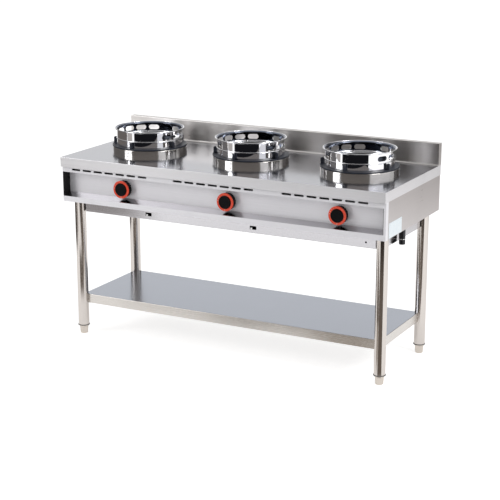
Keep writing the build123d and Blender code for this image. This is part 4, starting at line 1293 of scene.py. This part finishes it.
@dataclass(frozen=True)
class Card:
    """Curved card on the floor and up round the range, only seen in polished metal.

    Its directions are in degrees about Z, from +X towards +Y. Its tones are pairs of an
    elevation in degrees, as seen from the height of the worktop, and a colour. A card with
    a top of 0 degrees is a mat that stays on the floor.
    """

    name: str
    start: float
    end: float
    tones: tuple[tuple[float, Triple], ...]
    fade_in: float = 4.0
    fade_out: float = 4.0
    near: float = 3.5
    near_fade: float = 0.3
    far: float = 8.0
    top: float = 60.0
    top_fade: float = 0.85
    centre: tuple[float, float] = (0.0, 0.0)
    height: float = 0.002
    lifted: tuple[float, float] = (0.01, 0.02)
    eye: float = 0.85
    rise_steps: int = 12
    turn_steps: int = 48

    def mask(self, graph: Graph, parts: list[NodeSocket], reach: NodeSocket) -> NodeSocket:
        """Where the card is solid: 1 inside its edges, fading to 0 at them.

        Args:
            graph: node tree to add to.
            parts: coordinates, turned so that the card's middle lies along +X.
            reach: distance from the card's centre, along the floor.

        Returns:
            The mask's socket.
        """
        half = math.radians((self.end - self.start) / 2)
        azimuth = graph.maths("ARCTAN2", parts[1], parts[0])
        begun = graph.step(azimuth, -half, -half + math.radians(self.fade_in))
        ended = graph.step(azimuth, half - math.radians(self.fade_out), half)
        edges = graph.maths("MULTIPLY", begun, graph.maths("SUBTRACT", 1.0, ended))
        near = graph.step(reach, self.near, self.near + self.near_fade)
        if self.top:
            near = graph.maths("MAXIMUM", near, graph.step(parts[2], *self.lifted))
            sky = self.far * math.sin(math.radians(self.top))
            last = graph.step(parts[2], sky * self.top_fade, sky)
        else:
            last = graph.step(reach, self.far - self.near_fade, self.far)
        return graph.maths("MULTIPLY", graph.maths("MULTIPLY", edges, near),
                           graph.maths("SUBTRACT", 1.0, last))

    def tone(self, graph: Graph, elevation: NodeSocket) -> NodeSocket:
        """Colour at each elevation.

        Args:
            graph: node tree to add to.
            elevation: the elevation in radians.

        Returns:
            The colour's socket.
        """
        share = graph.node("MapRange", {
            "Value": elevation, "From Min": -QUARTER_TURN, "From Max": QUARTER_TURN})
        tones = graph.node("ValToRGB", {"Fac": share.outputs["Result"]})
        stops = tones.color_ramp.elements
        while len(stops) < len(self.tones):
            stops.new(0.5)
        for stop, (degrees, colour) in zip(stops, self.tones):
            stop.position = (degrees + 90.0) / 180.0
            stop.color = (*colour, 1.0)
        return tones.outputs["Color"]

    def material(self) -> bpy.types.Material:
        """Glowing card that is see-through beyond its soft edges.

        Returns:
            The card's material.
        """
        graph = Graph(bpy.data.materials.new(self.name))
        turned = graph.node("Mapping", {
            "Vector": graph.object_space((*self.centre, 0.0)),
            "Rotation": (0.0, 0.0, -math.radians((self.start + self.end) / 2))})
        split = graph.node("SeparateXYZ", {"Vector": turned.outputs["Vector"]})
        parts = list(split.outputs)
        reach = graph.reach(*parts[:2])
        rise = graph.maths("SUBTRACT", parts[2], self.eye)
        colour = self.tone(graph, graph.maths("ARCTAN2", rise, reach))
        mix = graph.node("MixShader", {
            0: self.mask(graph, parts, reach),
            1: graph.node("BsdfTransparent").outputs[0],
            2: graph.node("Emission", {"Color": colour}).outputs[0]})
        graph.link(mix.outputs[0], graph.output)
        graph.owner.cycles.emission_sampling = "NONE"
        return graph.owner

    def build(self) -> None:
        """Makes the card: a strip of floor that runs up into a dome where it has a top."""
        steps = range(self.rise_steps + 1 if self.top else 1)
        turns = [math.radians(self.top * step / self.rise_steps) for step in steps]
        rises = [(self.near, self.height)] + [
            (self.far * math.cos(turn), self.height + self.far * math.sin(turn))
            for turn in turns]
        start = math.radians(self.start)
        bm = bmesh.new()
        chain(bm, [(r * math.cos(start), r * math.sin(start), z) for r, z in rises])
        spin(bm, self.turn_steps, math.radians(self.end - self.start))
        bmesh.ops.translate(bm, vec=(*self.centre, 0.0), verts=bm.verts)
        mesh = bpy.data.meshes.new(self.name)
        bm.to_mesh(mesh)
        bm.free()
        mesh.materials.append(self.material())
        card = show(self.name, mesh)
        for ray in ("camera", "diffuse", "transmission", "volume_scatter", "shadow"):
            setattr(card, f"visible_{ray}", False)


BLACK: Triple = (0.008, 0.008, 0.01)
BROWN: Triple = (0.34, 0.31, 0.29)
MAT: Triple = (0.2, 0.17, 0.145)
SHADE: Triple = (0.5, 0.45, 0.4)
LEFT_MAT = Card(
    "mat_left", -112.0, -33.0, ((-30.0, MAT),), fade_in=8.0, fade_out=2.0, near=0.5,
    far=1.6, top=0.0, centre=LEG_PLACES["front_left"], height=0.001)
CARDS = (
    Card("card_front", -122.0, -34.0,
         ((-12.0, BLACK), (4.0, BLACK), (12.0, BROWN), (20.0, BROWN), (32.0, BLACK)),
         fade_in=5.0, fade_out=0.8, top=80.0),
    Card("card_right", -33.0, 32.0, ((0.0, (1.2, 1.2, 1.22)),), fade_in=0.8, fade_out=5.0,
         top=50.0),
    Card("card_side", 46.0, 96.0,
         ((-18.0, (0.85, 0.82, 0.81)), (-10.0, (0.5, 0.48, 0.47)), (5.0, (0.2, 0.19, 0.19))),
         near=2.0, near_fade=1.5),
    Card("card_left", 142.0, 216.0, ((0.0, (0.14, 0.125, 0.115)),), fade_in=15.0, near=2.1,
         top=50.0),
    Card("card_corner", -148.0, -124.0, ((-30.0, BROWN),), near=2.3, top=0.0),
    replace(LEFT_MAT, name="mat_right", tones=((-30.0, MAT), (-18.0, BLACK)), near=0.06,
            near_fade=0.1, far=3.6, centre=LEG_PLACES["front_right"], height=0.0015),
    LEFT_MAT,
    Card("mat_shelf", -150.0, -110.0, ((-30.0, SHADE),), fade_in=14.0, fade_out=2.0,
         near=0.1, far=1.5, top=0.0, centre=LEG_PLACES["front_right"], height=0.0005),
)


@dataclass
class Studio:
    """Floor, world, lamps, cards and camera."""

    floor_reach: float = 40.0
    floor_colour: Triple = (0.8, 0.8, 0.8)
    floor_glow: float = 0.65
    world_light: float = 0.544
    target: Triple = (0.0, 0.0, 0.6)
    key_place: Triple = (4.2, -0.9, 3.4)
    key_size: float = 1.8
    key_power: float = 90.0
    fill_place: Triple = (-3.2, -3.4, 2.6)
    fill_size: float = 2.0
    fill_power: float = 56.0
    eye: Triple = (2.7626, -5.2524, 2.0131)
    yaw: float = 27.666
    pitch: float = 15.069
    lens: float = 103.18
    sensor: float = 36.0

    def floor_material(self) -> bpy.types.Material:
        """A matt surface that looks white to the camera and in mirrors.

        Returns:
            The floor's material.
        """
        graph = Graph(bpy.data.materials.new("floor_white"))
        matt = graph.node("BsdfDiffuse", {"Color": (*self.floor_colour, 1.0)}).outputs[0]
        glow = graph.node("Emission", {"Strength": self.floor_glow}).outputs[0]
        white = graph.node("AddShader", {0: matt, 1: glow}).outputs[0]
        mix = graph.node("MixShader", {0: graph.seen(), 1: matt, 2: white})
        graph.link(mix.outputs[0], graph.output)
        graph.owner.cycles.emission_sampling = "NONE"
        return graph.owner

    def add_floor(self) -> None:
        """Lays the pale floor."""
        mesh = bpy.data.meshes.new("floor")
        bm = bmesh.new()
        bmesh.ops.create_grid(bm, x_segments=1, y_segments=1, size=self.floor_reach)
        bm.to_mesh(mesh)
        bm.free()
        mesh.materials.append(self.floor_material())
        show("floor", mesh)

    def light_world(self) -> None:
        """White background, with a softer grey for the light it gives."""
        world = bpy.data.worlds.new("studio")
        bpy.context.scene.world = world
        graph = Graph(world)
        level = graph.node("MapRange", {"Value": graph.seen(), "To Min": self.world_light})
        background = graph.node("Background", {
            "Color": (1.0, 1.0, 1.0, 1.0), "Strength": level.outputs["Result"]})
        graph.link(background.outputs[0], graph.output)

    def add_lamp(self, name: str, place: Triple, size: float, power: float) -> None:
        """Adds a soft square lamp that faces the range.

        Args:
            name: name of the lamp.
            place: its position.
            size: its side.
            power: its power in watts.
        """
        data = bpy.data.lights.new(name, "AREA")
        data.size = size
        data.energy = power
        lamp = show(name, data)
        lamp.location = place
        aim = Vector(self.target) - Vector(place)
        lamp.rotation_euler = aim.to_track_quat("-Z", "Y").to_euler()

    def set_camera(self) -> None:
        """Places the camera as in the photograph."""
        data = bpy.data.cameras.new("camera")
        data.lens = self.lens
        data.sensor_width = self.sensor
        camera = show("camera", data)
        camera.location = self.eye
        camera.rotation_euler = (
            math.radians(90.0 - self.pitch), 0.0, math.radians(self.yaw))
        bpy.context.scene.camera = camera

    def build(self) -> None:
        """Sets up the whole studio."""
        self.add_floor()
        self.light_world()
        for card in CARDS:
            card.build()
        self.add_lamp("key_lamp", self.key_place, self.key_size, self.key_power)
        self.add_lamp("fill_lamp", self.fill_place, self.fill_size, self.fill_power)
        self.set_camera()


def main() -> None:
    """Builds the sub-assemblies in order."""
    logging.basicConfig(level=logging.INFO)
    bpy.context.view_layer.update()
    bpy.context.scene.view_settings.view_transform = "Standard"
    dress_frame()
    Casing().build()
    RatingPlate().build()
    RailGlintTabs().build()
    for number, x in enumerate(BURNER_XS, 1):
        Burner(number, x).build()
        Knob(number, x + TAP_OFFSET).build()
    for name, (x, y) in LEG_PLACES.items():
        Leg(name, x, y).build()
    Inserts().build()
    GasInlet().build()
    Studio().build()


if __name__ == "__main__":
    main()
